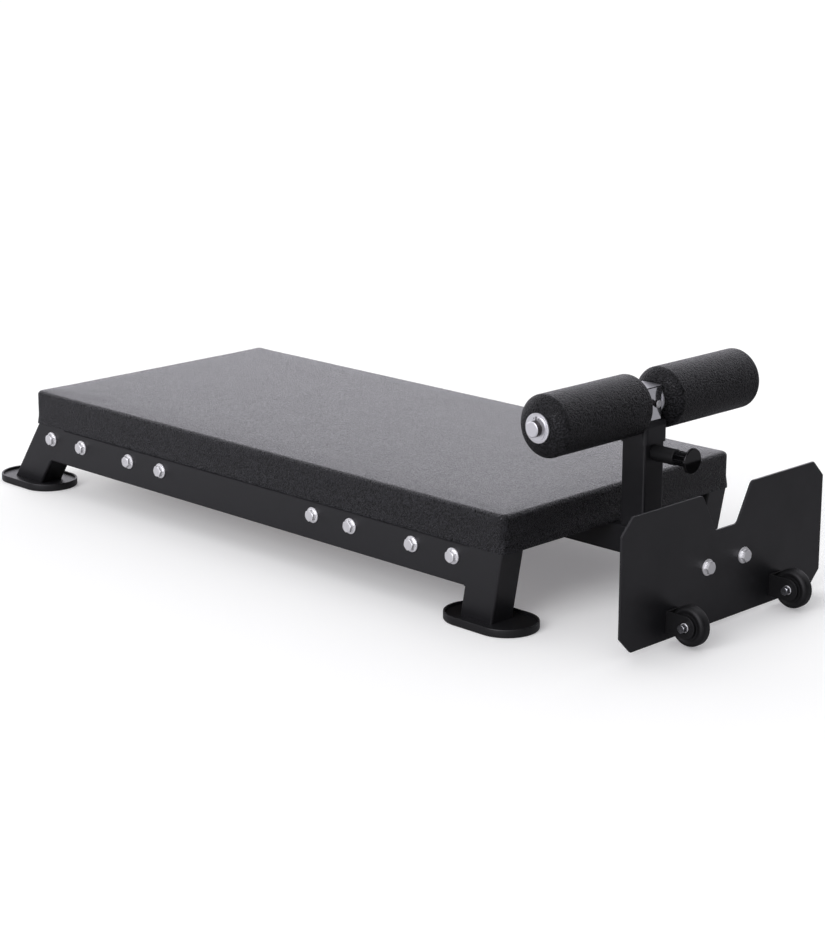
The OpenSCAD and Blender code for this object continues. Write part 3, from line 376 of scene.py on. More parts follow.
@dataclass(frozen=True)
class BirchPlywood(Finish):
    """Rotary-cut birch veneers glued crosswise and sanded.

    It gives the eye pale flat grain with long soft figure on the face, drawn along the board.
    """

    name: str = "birch plywood sanded"
    light: str = "#c9a97a"
    dark: str = "#a98254"
    figure_mm: float = 26.0
    figure_warp: float = 0.8
    fibre_mm: float = 1.6
    fibre_depth_mm: float = 0.05
    fibre_strength: float = 0.6
    fibre_share: float = 0.35
    drawn_scale: float = 0.08
    roughness: float = 0.6

    def shade(self, tree: bpy.types.NodeTree) -> bpy.types.Node:
        """Builds the veneer.

        Args:
            tree: The material's node tree.

        Returns:
            The shader node.
        """
        place = add(tree, "ShaderNodeTexCoord").outputs["Object"]
        drawn = add(tree, "ShaderNodeMapping", {
            "Vector": place, "Scale": (self.drawn_scale, 1.0, 1.0)})
        figure = add(tree, "ShaderNodeTexNoise", {
            "Vector": drawn.outputs["Vector"], "Scale": per_metre(self.figure_mm), "Detail": 4.0,
            "Distortion": self.figure_warp})
        fibre = add(tree, "ShaderNodeTexNoise", {
            "Vector": drawn.outputs["Vector"], "Scale": per_metre(self.fibre_mm), "Detail": 3.0})
        blend = add(tree, "ShaderNodeMix", {
            0: self.fibre_share, 2: figure.outputs["Fac"], 3: fibre.outputs["Fac"]},
            data_type="FLOAT")
        tint = add(tree, "ShaderNodeMix", {
            0: blend.outputs[0], 6: linear(self.light), 7: linear(self.dark)}, data_type="RGBA")
        bump = add(tree, "ShaderNodeBump", {
            "Height": fibre.outputs["Fac"], "Strength": self.fibre_strength,
            "Distance": self.fibre_depth_mm * MM})
        return add(tree, "ShaderNodeBsdfPrincipled", {
            "Base Color": tint.outputs[2], "Roughness": self.roughness,
            "Normal": bump.outputs["Normal"]})


FRAME_COAT = PowderCoat("powder coat matte black", "#151517", ior=1.56)
PLATE_COAT = PowderCoat("powder coat satin black", "#19191b", roughness=0.4)
# A darker, duller black coat; on the wheel brackets its darkness is painted shade between bracket and foot
# plate
DULL_COAT_AND_SHADE = PowderCoat("powder coat dull black", "#0d0d0e", roughness=0.55, ior=1.42)
# Each leatherette's second colour is painted shade in the creases of its grain
PAD_SKIN = SyntheticLeather(
    "pad cover grained leatherette", "#262629", "#040405",
    grain_mm=2.35, grain_depth_mm=1.4, fine_mm=0.8, fine_depth_mm=0.03, roughness=0.27, ior=1.42)
ROLLER_SKIN = SyntheticLeather(
    "roller cover pebbled leatherette", "#222224", "#050506",
    grain_mm=2.7, grain_depth_mm=1.9, fine_mm=1.0, fine_depth_mm=0.04, roughness=0.42, ior=1.34)
ZINC = PlatedSteel("bright zinc plating", "#f8f8f8", 0.56, 0.04, 3.0, 0.006)
CHROME = PlatedSteel("bright chrome plating", "#eeeff1", 0.07, 0.02, 12.0, 0.002)
SATIN_CHROME = PlatedSteel("satin chrome plating", "#f2f2f4", 0.44, 0.03, 6.0, 0.002)
CAP_NICKEL = PlatedSteel("satin nickel plating", "#98989b", 0.34, 0.03, 6.0, 0.002)
DARK_ZINC = PlatedSteel("blued zinc plating", "#a6a7aa", 0.3, 0.05, 3.0, 0.006)
SPRING_WIRE = PlatedSteel("drawn spring steel", "#77777b", 0.3, 0.05, 2.0, 0.01)
# Painted shade: a dark steel for the faces of the cap, shaft, rings and lock screw that look across their
# axis
SHADE_DARK_STEEL = PlatedSteel("drawn steel bar with its dark skin", "#3a3738", 0.32, 0.05, 2.5, 0.01)
CUP_RUBBER = MouldedPolymer("moulded cup rubber", "#101011", 0.42, 0.04, 1.6, 0.02)
TYRE_RUBBER = MouldedPolymer("moulded tyre rubber", "#0a0a0b", 0.54, 0.04, 1.4, 0.02, ior=1.44)
COLLAR_NYLON = MouldedPolymer("moulded nylon collar", "#232325", 0.45, 0.04, 1.2, 0.02)
HUB_NYLON = MouldedPolymer("moulded nylon hub", "#0e0e0f", 0.5, 0.04, 1.4, 0.015, ior=1.44)
KNOB_GLOSS = MouldedPolymer("polished knob plastic", "#060607", 0.08, 0.02, 14.0, 0.01)
PLYWOOD = BirchPlywood()


# Meshes


def dress(piece: bpy.types.Object, finish: Finish) -> None:
    """Gives a piece one finish all over.

    Args:
        piece: The object whose material slots are set.
        finish: The finish that it gets.
    """
    piece.data.materials.clear()
    piece.data.materials.append(finish.material())
    for polygon in piece.data.polygons:
        polygon.material_index = 0


def paint_turned_away_shade(piece: bpy.types.Object, axis: Axis, finish: Finish, rim: float = 1.0) -> None:
    """Paints shade on the faces that look across an axis, as a second, dark finish.

    Args:
        piece: The object, which has its first finish already.
        axis: Faces that look along it, either way, keep the first finish.
        finish: The dark finish of the others, their painted shade.
        rim: Distance from the axis, in metres, past which all faces keep the first finish.
    """
    piece.data.materials.append(finish.material())
    corners = [Vector(corner) for corner in piece.bound_box]
    lowest, highest = corners[0], corners[6]
    middle = (lowest + highest) / 2
    for polygon in piece.data.polygons:
        spoke = polygon.center - middle
        spoke[axis.index] = 0.0
        across = abs(polygon.normal[axis.index]) <= math.cos(math.radians(ALONG_DEG))
        polygon.material_index = 1 if across and spoke.length < rim else 0


def dress_nodes(finish: Finish, *names: str) -> None:
    """Gives CAD nodes a finish in the slots they already have.

    Args:
        finish: The finish that they get.
        *names: The nodes' names.
    """
    for name in names:
        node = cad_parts[name]
        if not node.material_slots:
            node.data.materials.append(None)
        for holder in node.material_slots:
            holder.material = finish.material()


def new_piece(name: str, mesh: bmesh.types.BMesh, smooth_angle: float = SHARP_DEG) -> bpy.types.Object:
    """Makes an object at the origin from a finished bmesh.

    Args:
        name: The piece's name.
        mesh: Its geometry, which is freed.
        smooth_angle: Edges sharper than this, in degrees, stay sharp.

    Returns:
        The object, linked to the scene.
    """
    for face in mesh.faces:
        face.smooth = True
    for edge in mesh.edges:
        edge.smooth = edge.calc_face_angle(math.pi) < math.radians(smooth_angle)
    data = bpy.data.meshes.new(name)
    mesh.to_mesh(data)
    mesh.free()
    piece = bpy.data.objects.new(name, data)
    bpy.context.scene.collection.objects.link(piece)
    return piece


def place_piece(piece: bpy.types.Object, body: str, slot: str, finish: Finish, *nodes: str) -> None:
    """Finishes a piece and ties it to the frame.

    Args:
        piece: The object.
        body: The CAD body that it rides on.
        slot: Name of a material slot; not used.
        finish: Its finish.
        *nodes: The CAD nodes that it stands for.
    """
    dress(piece, finish)
    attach(piece, body)
    if nodes:
        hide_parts(*nodes)
    LOG.info("%s rides on %s", piece.name, body)


def node_mesh(name: str) -> bmesh.types.BMesh:
    """A merged copy of a CAD node's mesh, with its flat faces joined up.

    Args:
        name: The node's name.

    Returns:
        The copy, to be freed by the caller.
    """
    mesh = bmesh.new()
    mesh.from_mesh(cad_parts[name].data)
    bmesh.ops.remove_doubles(mesh, verts=mesh.verts, dist=CAD_MERGE_MM * MM)
    bmesh.ops.dissolve_limit(
        mesh, angle_limit=math.radians(FLAT_DEG), verts=mesh.verts, edges=mesh.edges)
    return mesh


def broken_edges(name: str, width_mm: float, segments: int = 2) -> bpy.types.Object:
    """A copy of a CAD node whose sharp edges are broken by a small round.

    Args:
        name: The node's name.
        width_mm: Width of the round, or 0 where the edges are welded and ground flush.
        segments: Faces across the round.

    Returns:
        The new piece, named after the node.
    """
    piece = new_piece(name + "_look", node_mesh(name))
    if width_mm > 0:
        bevel = piece.modifiers.new("broken edges", "BEVEL")
        bevel.width = width_mm * MM
        bevel.segments = segments
        bevel.limit_method = "ANGLE"
        bevel.angle_limit = math.radians(SHARP_DEG)
        bevel.use_clamp_overlap = True
    flats = piece.modifiers.new("flat faces stay flat", "WEIGHTED_NORMAL")
    flats.weight = FACE_WEIGHT
    flats.keep_sharp = True
    return piece


def eased_copy(name: str, width_mm: float, body: str, slot: str, finish: Finish,
               segments: int = 2) -> bpy.types.Object:
    """Puts a finished copy with broken edges in a CAD node's stead.

    Args:
        name: The node's name.
        width_mm: Width of the round, or 0 where the edges are welded and ground flush.
        body: The CAD body that it rides on.
        slot: Name of a material slot, passed on to place_piece.
        finish: Its finish.
        segments: Faces across the round.

    Returns:
        The new piece.
    """
    piece = broken_edges(name, width_mm, segments)
    place_piece(piece, body, slot, finish, name)
    return piece


def solid_boxes(name: str) -> list[tuple[Vector, Vector]]:
    """The box of each separate solid in a CAD node.

    Args:
        name: The node's name.

    Returns:
        Lowest and highest corner of each solid, in order of X, then Y, then Z.
    """
    mesh = bmesh.new()
    mesh.from_mesh(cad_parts[name].data)
    bmesh.ops.remove_doubles(mesh, verts=mesh.verts, dist=CAD_MERGE_MM * MM)
    left = set(mesh.verts)
    boxes = []
    while left:
        start = left.pop()
        island = [start]
        queue = [start]
        while queue:
            for edge in queue.pop().link_edges:
                for vertex in edge.verts:
                    if vertex in left:
                        left.remove(vertex)
                        island.append(vertex)
                        queue.append(vertex)
        low = Vector([min(v.co[i] for v in island) for i in range(3)])
        high = Vector([max(v.co[i] for v in island) for i in range(3)])
        boxes.append((low, high))
    mesh.free()
    return sorted(boxes, key=lambda box: tuple(round(c, SORT_DIGITS) for c in box[0]))


def turned(name: str, profile: list[tuple[float, float]], centre: Vector, axis: Axis,
           steps: int = 96, closed: bool = True, smooth_angle: float = SHARP_DEG) -> bpy.types.Object:
    """A body of revolution from a profile of (radius, place along the axis).

    Args:
        name: The piece's name.
        profile: Points of the half section, in metres.
        centre: A point that the profile's places count from.
        axis: The axis that the piece turns about.
        steps: Faces round the piece.
        closed: Whether the profile's last point joins its first.
        smooth_angle: Edges sharper than this, in degrees, stay sharp.

    Returns:
        The new piece.
    """
    along = Vector(axis.value)
    across = Vector(axis.value[-1:] + axis.value[:-1])
    third = along.cross(across)
    mesh = bmesh.new()
    rings = []
    for radius, place in profile:
        if radius < TINY:
            rings.append([mesh.verts.new(centre + along * place)] * steps)
            continue
        ring = []
        for i in range(steps):
            angle = math.tau * i / steps
            spoke = across * math.cos(angle) + third * math.sin(angle)
            ring.append(mesh.verts.new(centre + along * place + spoke * radius))
        rings.append(ring)
    count = len(rings)
    for i in range(count if closed else count - 1):
        here, there = rings[i], rings[(i + 1) % count]
        for j in range(steps):
            k = (j + 1) % steps
            corners = []
            for vertex in (here[j], here[k], there[k], there[j]):
                if vertex not in corners:
                    corners.append(vertex)
            if len(corners) > 2:
                mesh.faces.new(corners)
    bmesh.ops.recalc_face_normals(mesh, faces=mesh.faces)
    return new_piece(name, mesh, smooth_angle)


def rounded(points: list[tuple[float, float, float]], steps: int = 5) -> list[tuple[float, float]]:
    """A closed outline whose corners are rounded by arcs.

    Args:
        points: Corners as (x, y, radius).
        steps: Faces in each arc.

    Returns:
        The outline's points in order.
    """
    out = []
    count = len(points)
    for i, (x, y, radius) in enumerate(points):
        at = Vector((x, y))
        if radius <= 0:
            out.append((x, y))
            continue
        before = (Vector(points[i - 1][:2]) - at).normalized()
        after = (Vector(points[(i + 1) % count][:2]) - at).normalized()
        half = before.angle(after) / 2
        centre = at + (before + after).normalized() * (radius / math.sin(half))
        first = at + before * (radius / math.tan(half)) - centre
        last = at + after * (radius / math.tan(half)) - centre
        start = math.atan2(first.y, first.x)
        turn = math.atan2(last.y, last.x) - start
        turn = (turn + 3 * math.pi) % math.tau - math.pi
        for j in range(steps + 1):
            angle = start + turn * j / steps
            out.append((centre.x + radius * math.cos(angle), centre.y + radius * math.sin(angle)))
    return out


def swept(name: str, rings: list[list[Vector]], smooth_angle: float = SHARP_DEG) -> bpy.types.Object:
    """A closed skin through rings of equal count, joined from the last back to the first.

    Args:
        name: The piece's name.
        rings: Closed loops of points.
        smooth_angle: Edges sharper than this, in degrees, stay sharp.

    Returns:
        The new piece.
    """
    mesh = bmesh.new()
    loops = [[mesh.verts.new(point) for point in ring] for ring in rings]
    count = len(loops[0])
    for i, here in enumerate(loops):
        there = loops[(i + 1) % len(loops)]
        for j in range(count):
            k = (j + 1) % count
            mesh.faces.new((here[j], here[k], there[k], there[j]))
    bmesh.ops.recalc_face_normals(mesh, faces=mesh.faces)
    return new_piece(name, mesh, smooth_angle)


def swell(piece: bpy.types.Object, held: set[int], pressure: float, cap_mm: float) -> None:
    """Lets a filled cover swell as cloth and keeps the result in its mesh.

    Args:
        piece: The cover, a little smaller than the finished one.
        held: Indices of the points that the piece's backing holds.
        pressure: Pressure of the filling.
        cap_mm: Furthest that any point may move.
    """
    scene = bpy.context.scene
    group = piece.vertex_groups.new(name="held")
    group.add(sorted(held), 1.0, "REPLACE")
    cloth = piece.modifiers.new("cover", "CLOTH")
    for setting, value in COVER_CLOTH.items():
        setattr(cloth.settings, setting, value)
    cloth.settings.uniform_pressure_force = pressure
    cloth.settings.effector_weights.gravity = 0
    cloth.settings.vertex_group_mass = group.name
    cloth.collision_settings.use_collision = False
    cloth.point_cache.frame_start = 1
    cloth.point_cache.frame_end = SWELL_FRAMES
    for step in range(1, SWELL_FRAMES + 1):
        scene.frame_set(step)
    moved = piece.evaluated_get(bpy.context.evaluated_depsgraph_get())
    places = [vertex.co.copy() for vertex in moved.data.vertices]
    piece.modifiers.remove(cloth)
    piece.vertex_groups.remove(group)
    cap = cap_mm * MM
    for vertex, place in zip(piece.data.vertices, places):
        step = place - vertex.co
        if step.length > cap:
            step = step.normalized() * cap
        vertex.co = vertex.co + step
    scene.frame_set(1)
    LOG.info("%s swelled by up to %.1f mm", piece.name, cap_mm)


# Fasteners grown by geometry nodes


@dataclass
class PointTree:
    """A geometry node tree that sets one small piece on every point of a mesh.

    The points carry the direction that the piece's own Z turns to, in the attribute aim.
    """

    name: str
    seed: int = 7
    smooth_deg: float = 30.0

    def sizes(self) -> list[str]:
        """Names of the tree's size inputs."""
        raise NotImplementedError

    def part(self, tree: bpy.types.NodeTree, given: bpy.types.Node) -> bpy.types.NodeSocket:
        """Builds the small piece in the tree and returns its geometry socket."""
        raise NotImplementedError

    def build(self) -> bpy.types.NodeTree:
        """Builds the tree, or finds it if it is there already.

        Returns:
            The tree.
        """
        found = bpy.data.node_groups.get(self.name)
        if found is not None:
            return found
        tree = bpy.data.node_groups.new(self.name, "GeometryNodeTree")
        tree.interface.new_socket(name="Points", in_out="INPUT", socket_type="NodeSocketGeometry")
        for size in self.sizes():
            tree.interface.new_socket(name=size, in_out="INPUT", socket_type="NodeSocketFloat")
        tree.interface.new_socket(name="Finish", in_out="INPUT", socket_type="NodeSocketMaterial")
        tree.interface.new_socket(name="Pieces", in_out="OUTPUT", socket_type="NodeSocketGeometry")
        given = add(tree, "NodeGroupInput")
        aim = add(tree, "GeometryNodeInputNamedAttribute", {"Name": "aim"}, data_type="FLOAT_VECTOR")
        turn = add(tree, "FunctionNodeAlignRotationToVector", {"Vector": aim.outputs[0]}, axis="Z")
        spread = add(tree, "GeometryNodeInstanceOnPoints", {
            "Points": given.outputs["Points"], "Instance": self.part(tree, given),
            "Rotation": turn.outputs[0]})
        chance = add(tree, "FunctionNodeRandomValue", {2: 0.0, 3: math.tau, "Seed": self.seed})
        spin = add(tree, "ShaderNodeCombineXYZ", {"Z": chance.outputs[1]})
        spun = add(tree, "GeometryNodeRotateInstances", {
            "Instances": spread.outputs[0], "Rotation": spin.outputs[0]})
        real = add(tree, "GeometryNodeRealizeInstances", {0: spun.outputs[0]})
        dressed = add(tree, "GeometryNodeSetMaterial", {
            "Geometry": real.outputs[0], "Material": given.outputs["Finish"]})
        add(tree, "NodeGroupOutput", {0: dressed.outputs[0]})
        return tree

    def grow(self, name: str, points: list[tuple[Vector, Vector]], finish: Finish,
             **sizes: float) -> bpy.types.Object:
        """Sets the small piece on points and turns the result into a plain mesh.

        Args:
            name: Name of the new piece.
            points: Place and aim of each small piece.
            finish: Its finish.
            **sizes: The size inputs, in millimetres, by their names in lower case with underscores.

        Returns:
            The new piece.
        """
        tree = self.build()
        data = bpy.data.meshes.new(name + "_points")
        data.from_pydata([tuple(place) for place, _ in points], [], [])
        aims = data.attributes.new("aim", "FLOAT_VECTOR", "POINT")
        for item, (_, aim) in zip(aims.data, points):
            item.vector = aim
        seeds = bpy.data.objects.new(name + "_points", data)
        bpy.context.scene.collection.objects.link(seeds)
        modifier = seeds.modifiers.new("grown", "NODES")
        modifier.node_group = tree
        for item in tree.interface.items_tree:
            if item.item_type != "SOCKET" or item.in_out != "INPUT":
                continue
            key = item.name.lower().replace(" ", "_")
            if key in sizes:
                modifier[item.identifier] = sizes[key] * MM
            if item.name == "Finish":
                modifier[item.identifier] = finish.material()
        graph = bpy.context.evaluated_depsgraph_get()
        grown = bpy.data.meshes.new_from_object(seeds.evaluated_get(graph))
        seeds.modifiers.remove(modifier)
        bpy.data.objects.remove(seeds)
        mesh = bmesh.new()
        mesh.from_mesh(grown)
        bpy.data.meshes.remove(grown)
        bmesh.ops.remove_doubles(mesh, verts=mesh.verts, dist=GROWN_MERGE_MM * MM)
        return new_piece(name, mesh, self.smooth_deg)


def scaled(tree: bpy.types.NodeTree, socket: bpy.types.NodeSocket, factor: float,
           plus: bpy.types.NodeSocket | float = 0.0) -> bpy.types.NodeSocket:
    """A size times a factor plus another size.

    Args:
        tree: The tree that does the sum.
        socket: The size.
        factor: What it is multiplied by.
        plus: What is added.

    Returns:
        The result's socket.
    """
    return add(tree, "ShaderNodeMath", {0: socket, 1: factor, 2: plus},
               operation="MULTIPLY_ADD").outputs[0]


def lifted(tree: bpy.types.NodeTree, geometry: bpy.types.NodeSocket,
           height: bpy.types.NodeSocket) -> bpy.types.NodeSocket:
    """A geometry moved up by a height.

    Args:
        tree: The tree that moves it.
        geometry: What is moved.
        height: How far.

    Returns:
        The moved geometry's socket.
    """
    place = add(tree, "ShaderNodeCombineXYZ", {"Z": height})
    return add(tree, "GeometryNodeTransform", {
        "Geometry": geometry, "Translation": place.outputs[0]}).outputs[0]


def hexagon(tree: bpy.types.NodeTree, across: bpy.types.NodeSocket, height: bpy.types.NodeSocket,
            both_ends: bool) -> bpy.types.NodeSocket:
    """A hexagon prism that stands on Z 0, with its corners turned off by a 30 degree cone.

    Args:
        tree: The tree that builds it.
        across: Width across the flats.
        height: Height of the prism.
        both_ends: Whether the lower corners are turned off too.

    Returns:
        The geometry's socket.
    """
    corner = scaled(tree, across, 1 / math.sqrt(3))
    prism = add(tree, "GeometryNodeMeshCylinder", {"Vertices": 6, "Radius": corner, "Depth": height})
    bar = lifted(tree, prism.outputs["Mesh"], scaled(tree, height, 0.5))
    flat = scaled(tree, across, FLAT_SHARE)
    flare = scaled(tree, height, math.tan(math.radians(CONE_DEG)), flat)
    cone = add(tree, "GeometryNodeMeshCone", {
        "Vertices": CONE_STEPS, "Radius Top": flat, "Radius Bottom": flare, "Depth": height})
    shapes = [bar, cone.outputs["Mesh"]]
    if both_ends:
        under = add(tree, "GeometryNodeMeshCone", {
            "Vertices": CONE_STEPS, "Radius Top": flare, "Radius Bottom": flat, "Depth": height})
        shapes.append(under.outputs["Mesh"])
    cut = add(tree, "GeometryNodeMeshBoolean", operation="INTERSECT", solver="EXACT")
    for shape in shapes:
        tree.links.new(shape, cut.inputs["Mesh 2"])
    return cut.outputs["Mesh"]


@dataclass
class BoltTree(PointTree):
    """Hexagon bolt: chamfered head on Z 0, shank below it and a helical thread at its end."""

    name: str = "hex bolt"
    core_share: float = 0.3
    ridge_share: float = 0.33
    ridge_sides: int = 3
    turn_steps: int = 20

    def sizes(self) -> list[str]:
        """Names of the bolt's sizes."""
        return ["Across flats", "Head height", "Thread", "Length", "Threaded length", "Pitch"]

    def part(self, tree: bpy.types.NodeTree, given: bpy.types.Node) -> bpy.types.NodeSocket:
        """Builds one bolt.

        Args:
            tree: The tree that builds it.
            given: The tree's input node.

        Returns:
            The bolt's geometry socket.
        """
        size = given.outputs
        head = hexagon(tree, size["Across flats"], size["Head height"], False)
        core = scaled(tree, size["Pitch"], -self.core_share, scaled(tree, size["Thread"], 0.5))
        shank = add(tree, "GeometryNodeMeshCylinder", {
            "Vertices": BORE_STEPS, "Radius": core, "Depth": size["Length"]})
        hung = lifted(tree, shank.outputs["Mesh"], scaled(tree, size["Length"], -0.5))
        turns = add(tree, "ShaderNodeMath", {
            0: size["Threaded length"], 1: size["Pitch"]}, operation="DIVIDE")
        helix = add(tree, "GeometryNodeCurveSpiral", {
            "Resolution": self.turn_steps, "Rotations": turns.outputs[0], "Start Radius": core,
            "End Radius": core, "Height": size["Threaded length"]})
        ridge = add(tree, "GeometryNodeCurvePrimitiveCircle", {
            "Resolution": self.ridge_sides,
            "Radius": scaled(tree, size["Pitch"], self.ridge_share)})
        thread = add(tree, "GeometryNodeCurveToMesh", {
            "Curve": helix.outputs[0], "Profile Curve": ridge.outputs[0], "Fill Caps": True})
        low = scaled(tree, size["Length"], -1.0, scaled(tree, size["Pitch"], 0.5))
        joined = add(tree, "GeometryNodeJoinGeometry")
        for piece in (head, hung, lifted(tree, thread.outputs[0], low)):
            tree.links.new(piece, joined.inputs[0])
        return joined.outputs[0]


@dataclass
class NutTree(PointTree):
    """Hexagon nut on Z 0, both faces chamfered, with its bore."""

    name: str = "hex nut"
    bore_reach: float = 4.0

    def sizes(self) -> list[str]:
        """Names of the nut's sizes."""
        return ["Across flats", "Height", "Thread"]

    def part(self, tree: bpy.types.NodeTree, given: bpy.types.Node) -> bpy.types.NodeSocket:
        """Builds one nut.

        Args:
            tree: The tree that builds it.
            given: The tree's input node.

        Returns:
            The nut's geometry socket.
        """
        size = given.outputs
        body = hexagon(tree, size["Across flats"], size["Height"], True)
        bore = add(tree, "GeometryNodeMeshCylinder", {
            "Vertices": BORE_STEPS, "Radius": scaled(tree, size["Thread"], 0.5),
            "Depth": scaled(tree, size["Height"], self.bore_reach)})
        drilled = add(tree, "GeometryNodeMeshBoolean", {"Mesh 1": body}, operation="DIFFERENCE",
                      solver="EXACT")
        tree.links.new(bore.outputs["Mesh"], drilled.inputs["Mesh 2"])
        return drilled.outputs["Mesh"]


@dataclass
class WasherTree(PointTree):
    """Punched washer on Z 0: a small rounded section carried round a circle."""

    name: str = "punched washer"
    circle_steps: int = 64
    edge_steps: int = 2

    def sizes(self) -> list[str]:
        """Names of the washer's sizes."""
        return ["Outside", "Inside", "Thickness", "Edge round"]

    def part(self, tree: bpy.types.NodeTree, given: bpy.types.Node) -> bpy.types.NodeSocket:
        """Builds one washer.

        Args:
            tree: The tree that builds it.
            given: The tree's input node.

        Returns:
            The washer's geometry socket.
        """
        size = given.outputs
        middle = scaled(tree, size["Outside"], 0.25, scaled(tree, size["Inside"], 0.25))
        width = scaled(tree, size["Outside"], 0.5, scaled(tree, size["Inside"], -0.5))
        path = add(tree, "GeometryNodeCurvePrimitiveCircle", {
            "Resolution": self.circle_steps, "Radius": middle})
        section = add(tree, "GeometryNodeCurvePrimitiveQuadrilateral", {
            "Width": width, "Height": size["Thickness"]})
        soft = add(tree, "GeometryNodeFilletCurve", {
            "Curve": section.outputs[0], "Radius": size["Edge round"],
            "Count": self.edge_steps}, mode="POLY")
        ring = add(tree, "GeometryNodeCurveToMesh", {
            "Curve": path.outputs[0], "Profile Curve": soft.outputs[0]})
        return lifted(tree, ring.outputs[0], scaled(tree, size["Thickness"], 0.5))


def box_middle(low: Vector, high: Vector) -> Vector:
    """The middle of a box."""
    return (low + high) / 2


def reach(name: str, axis: Axis) -> tuple[float, float]:
    """Lowest and highest place of a CAD node along an axis."""
    low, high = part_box(name)
    return low[axis.index], high[axis.index]


# Sub-assemblies


@dataclass
class SteelFrame:
    """Welded and bolted steel: rails, legs, cross members, beam, post, brackets and foot plate."""

    tube_edge_mm: float = 0.7
    plate_edge_mm: float = 0.8
    bracket_edge_mm: float = 0.6
    weld_overlap_mm: float = 0.4
    weld_proud_mm: float = 0.03
    weld_depth_mm: float = 3.5

    def build(self) -> None:
        """Builds every painted steel piece."""
        sides = [side.word for side in Side]
        for word in sides:
            for name in ("rail_", "head_leg_", "foot_leg_"):
                eased_copy(name + word, 0.0, "frame", "frame_paint", FRAME_COAT)
        tubes = [place + "_cross_member" for place in ("head", "second", "third", "foot")]
        for name in tubes + ["centre_beam", "post"]:
            eased_copy(name, self.tube_edge_mm, "frame", "frame_paint", FRAME_COAT)
        for word in sides:
            # Painted shade: the brackets get the darker coat
            eased_copy("wheel_bracket_" + word, self.bracket_edge_mm, "frame", "frame_paint", DULL_COAT_AND_SHADE)
        eased_copy("foot_plate", self.plate_edge_mm, "frame", "plate_paint", PLATE_COAT, 3)
        for side in Side:
            for end in ("head", "foot"):
                self.ground_welds(end, side)

    def ground_welds(self, end: str, side: Side) -> None:
        """Fills the grooves where a rail meets the leg's rounded corners, ground flush and coated.

        Args:
            end: The bench's end, head or foot.
            side: The bench's side.
        """
        rail_low, rail_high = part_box("rail_" + side.word)
        toward_leg = -1 if end == "head" else 1
        rise = rail_high.z - rail_low.z
        mesh = bmesh.new()
        for face_sign, plane in ((-1, rail_low.y), (1, rail_high.y)):
            edge = self.leg_edge("%s_leg_%s" % (end, side.word), face_sign, plane, -toward_leg)
            (x_low, z_low), (x_high, z_high) = edge
            slope = (x_high - x_low) / (z_high - z_low)
            top_x = x_high + slope * (rail_high.z - z_high)
            rail_x = rail_low.x + slope * rise if end == "head" else rail_high.x
            overlap = self.weld_overlap_mm * MM * toward_leg
            outline = [
                (rail_x - overlap, rail_high.z), (top_x + overlap, rail_high.z),
                (top_x + overlap - slope * rise, rail_low.z),
                (rail_x - overlap - slope * rise, rail_low.z)]
            skin = plane + face_sign * self.weld_proud_mm * MM
            root = plane - face_sign * self.weld_depth_mm * MM
            outer = [mesh.verts.new((x, skin, z)) for x, z in outline]
            inner = [mesh.verts.new((x, root, z)) for x, z in outline]
            mesh.faces.new(outer)
            mesh.faces.new(inner)
            for i in range(4):
                j = (i + 1) % 4
                mesh.faces.new((outer[i], outer[j], inner[j], inner[i]))
        bmesh.ops.recalc_face_normals(mesh, faces=mesh.faces)
        piece = new_piece("%s_ground_welds_%s" % (end, side.word), mesh)
        place_piece(piece, "frame", "frame_paint", FRAME_COAT)

    def leg_edge(self, name: str, face_sign: int, plane: float, x_sign: int) -> list[tuple[float, float]]:
        """One long edge of a leg's flat side.

        Args:
            name: The leg's node.
            face_sign: Direction along Y that the side faces.
            plane: The side's place along Y, the same as the rail's.
            x_sign: Which of the side's two long edges, along X.

        Returns:
            The edge's lower and upper end as (x, z).
        """
        mesh = node_mesh(name)
        points = set()
        for face in mesh.faces:
            in_plane = abs(face.verts[0].co.y - plane) < LEVEL_MM * MM
            if in_plane and face.normal.y * face_sign > FACING:
                points.update(face.verts)
        low, high = min(v.co.z for v in points), max(v.co.z for v in points)
        ends = []
        for level in (low, high):
            row = [v.co.x for v in points if abs(v.co.z - level) < LEVEL_MM * MM]
            ends.append((max(row) if x_sign > 0 else min(row), level))
        mesh.free()
        return ends


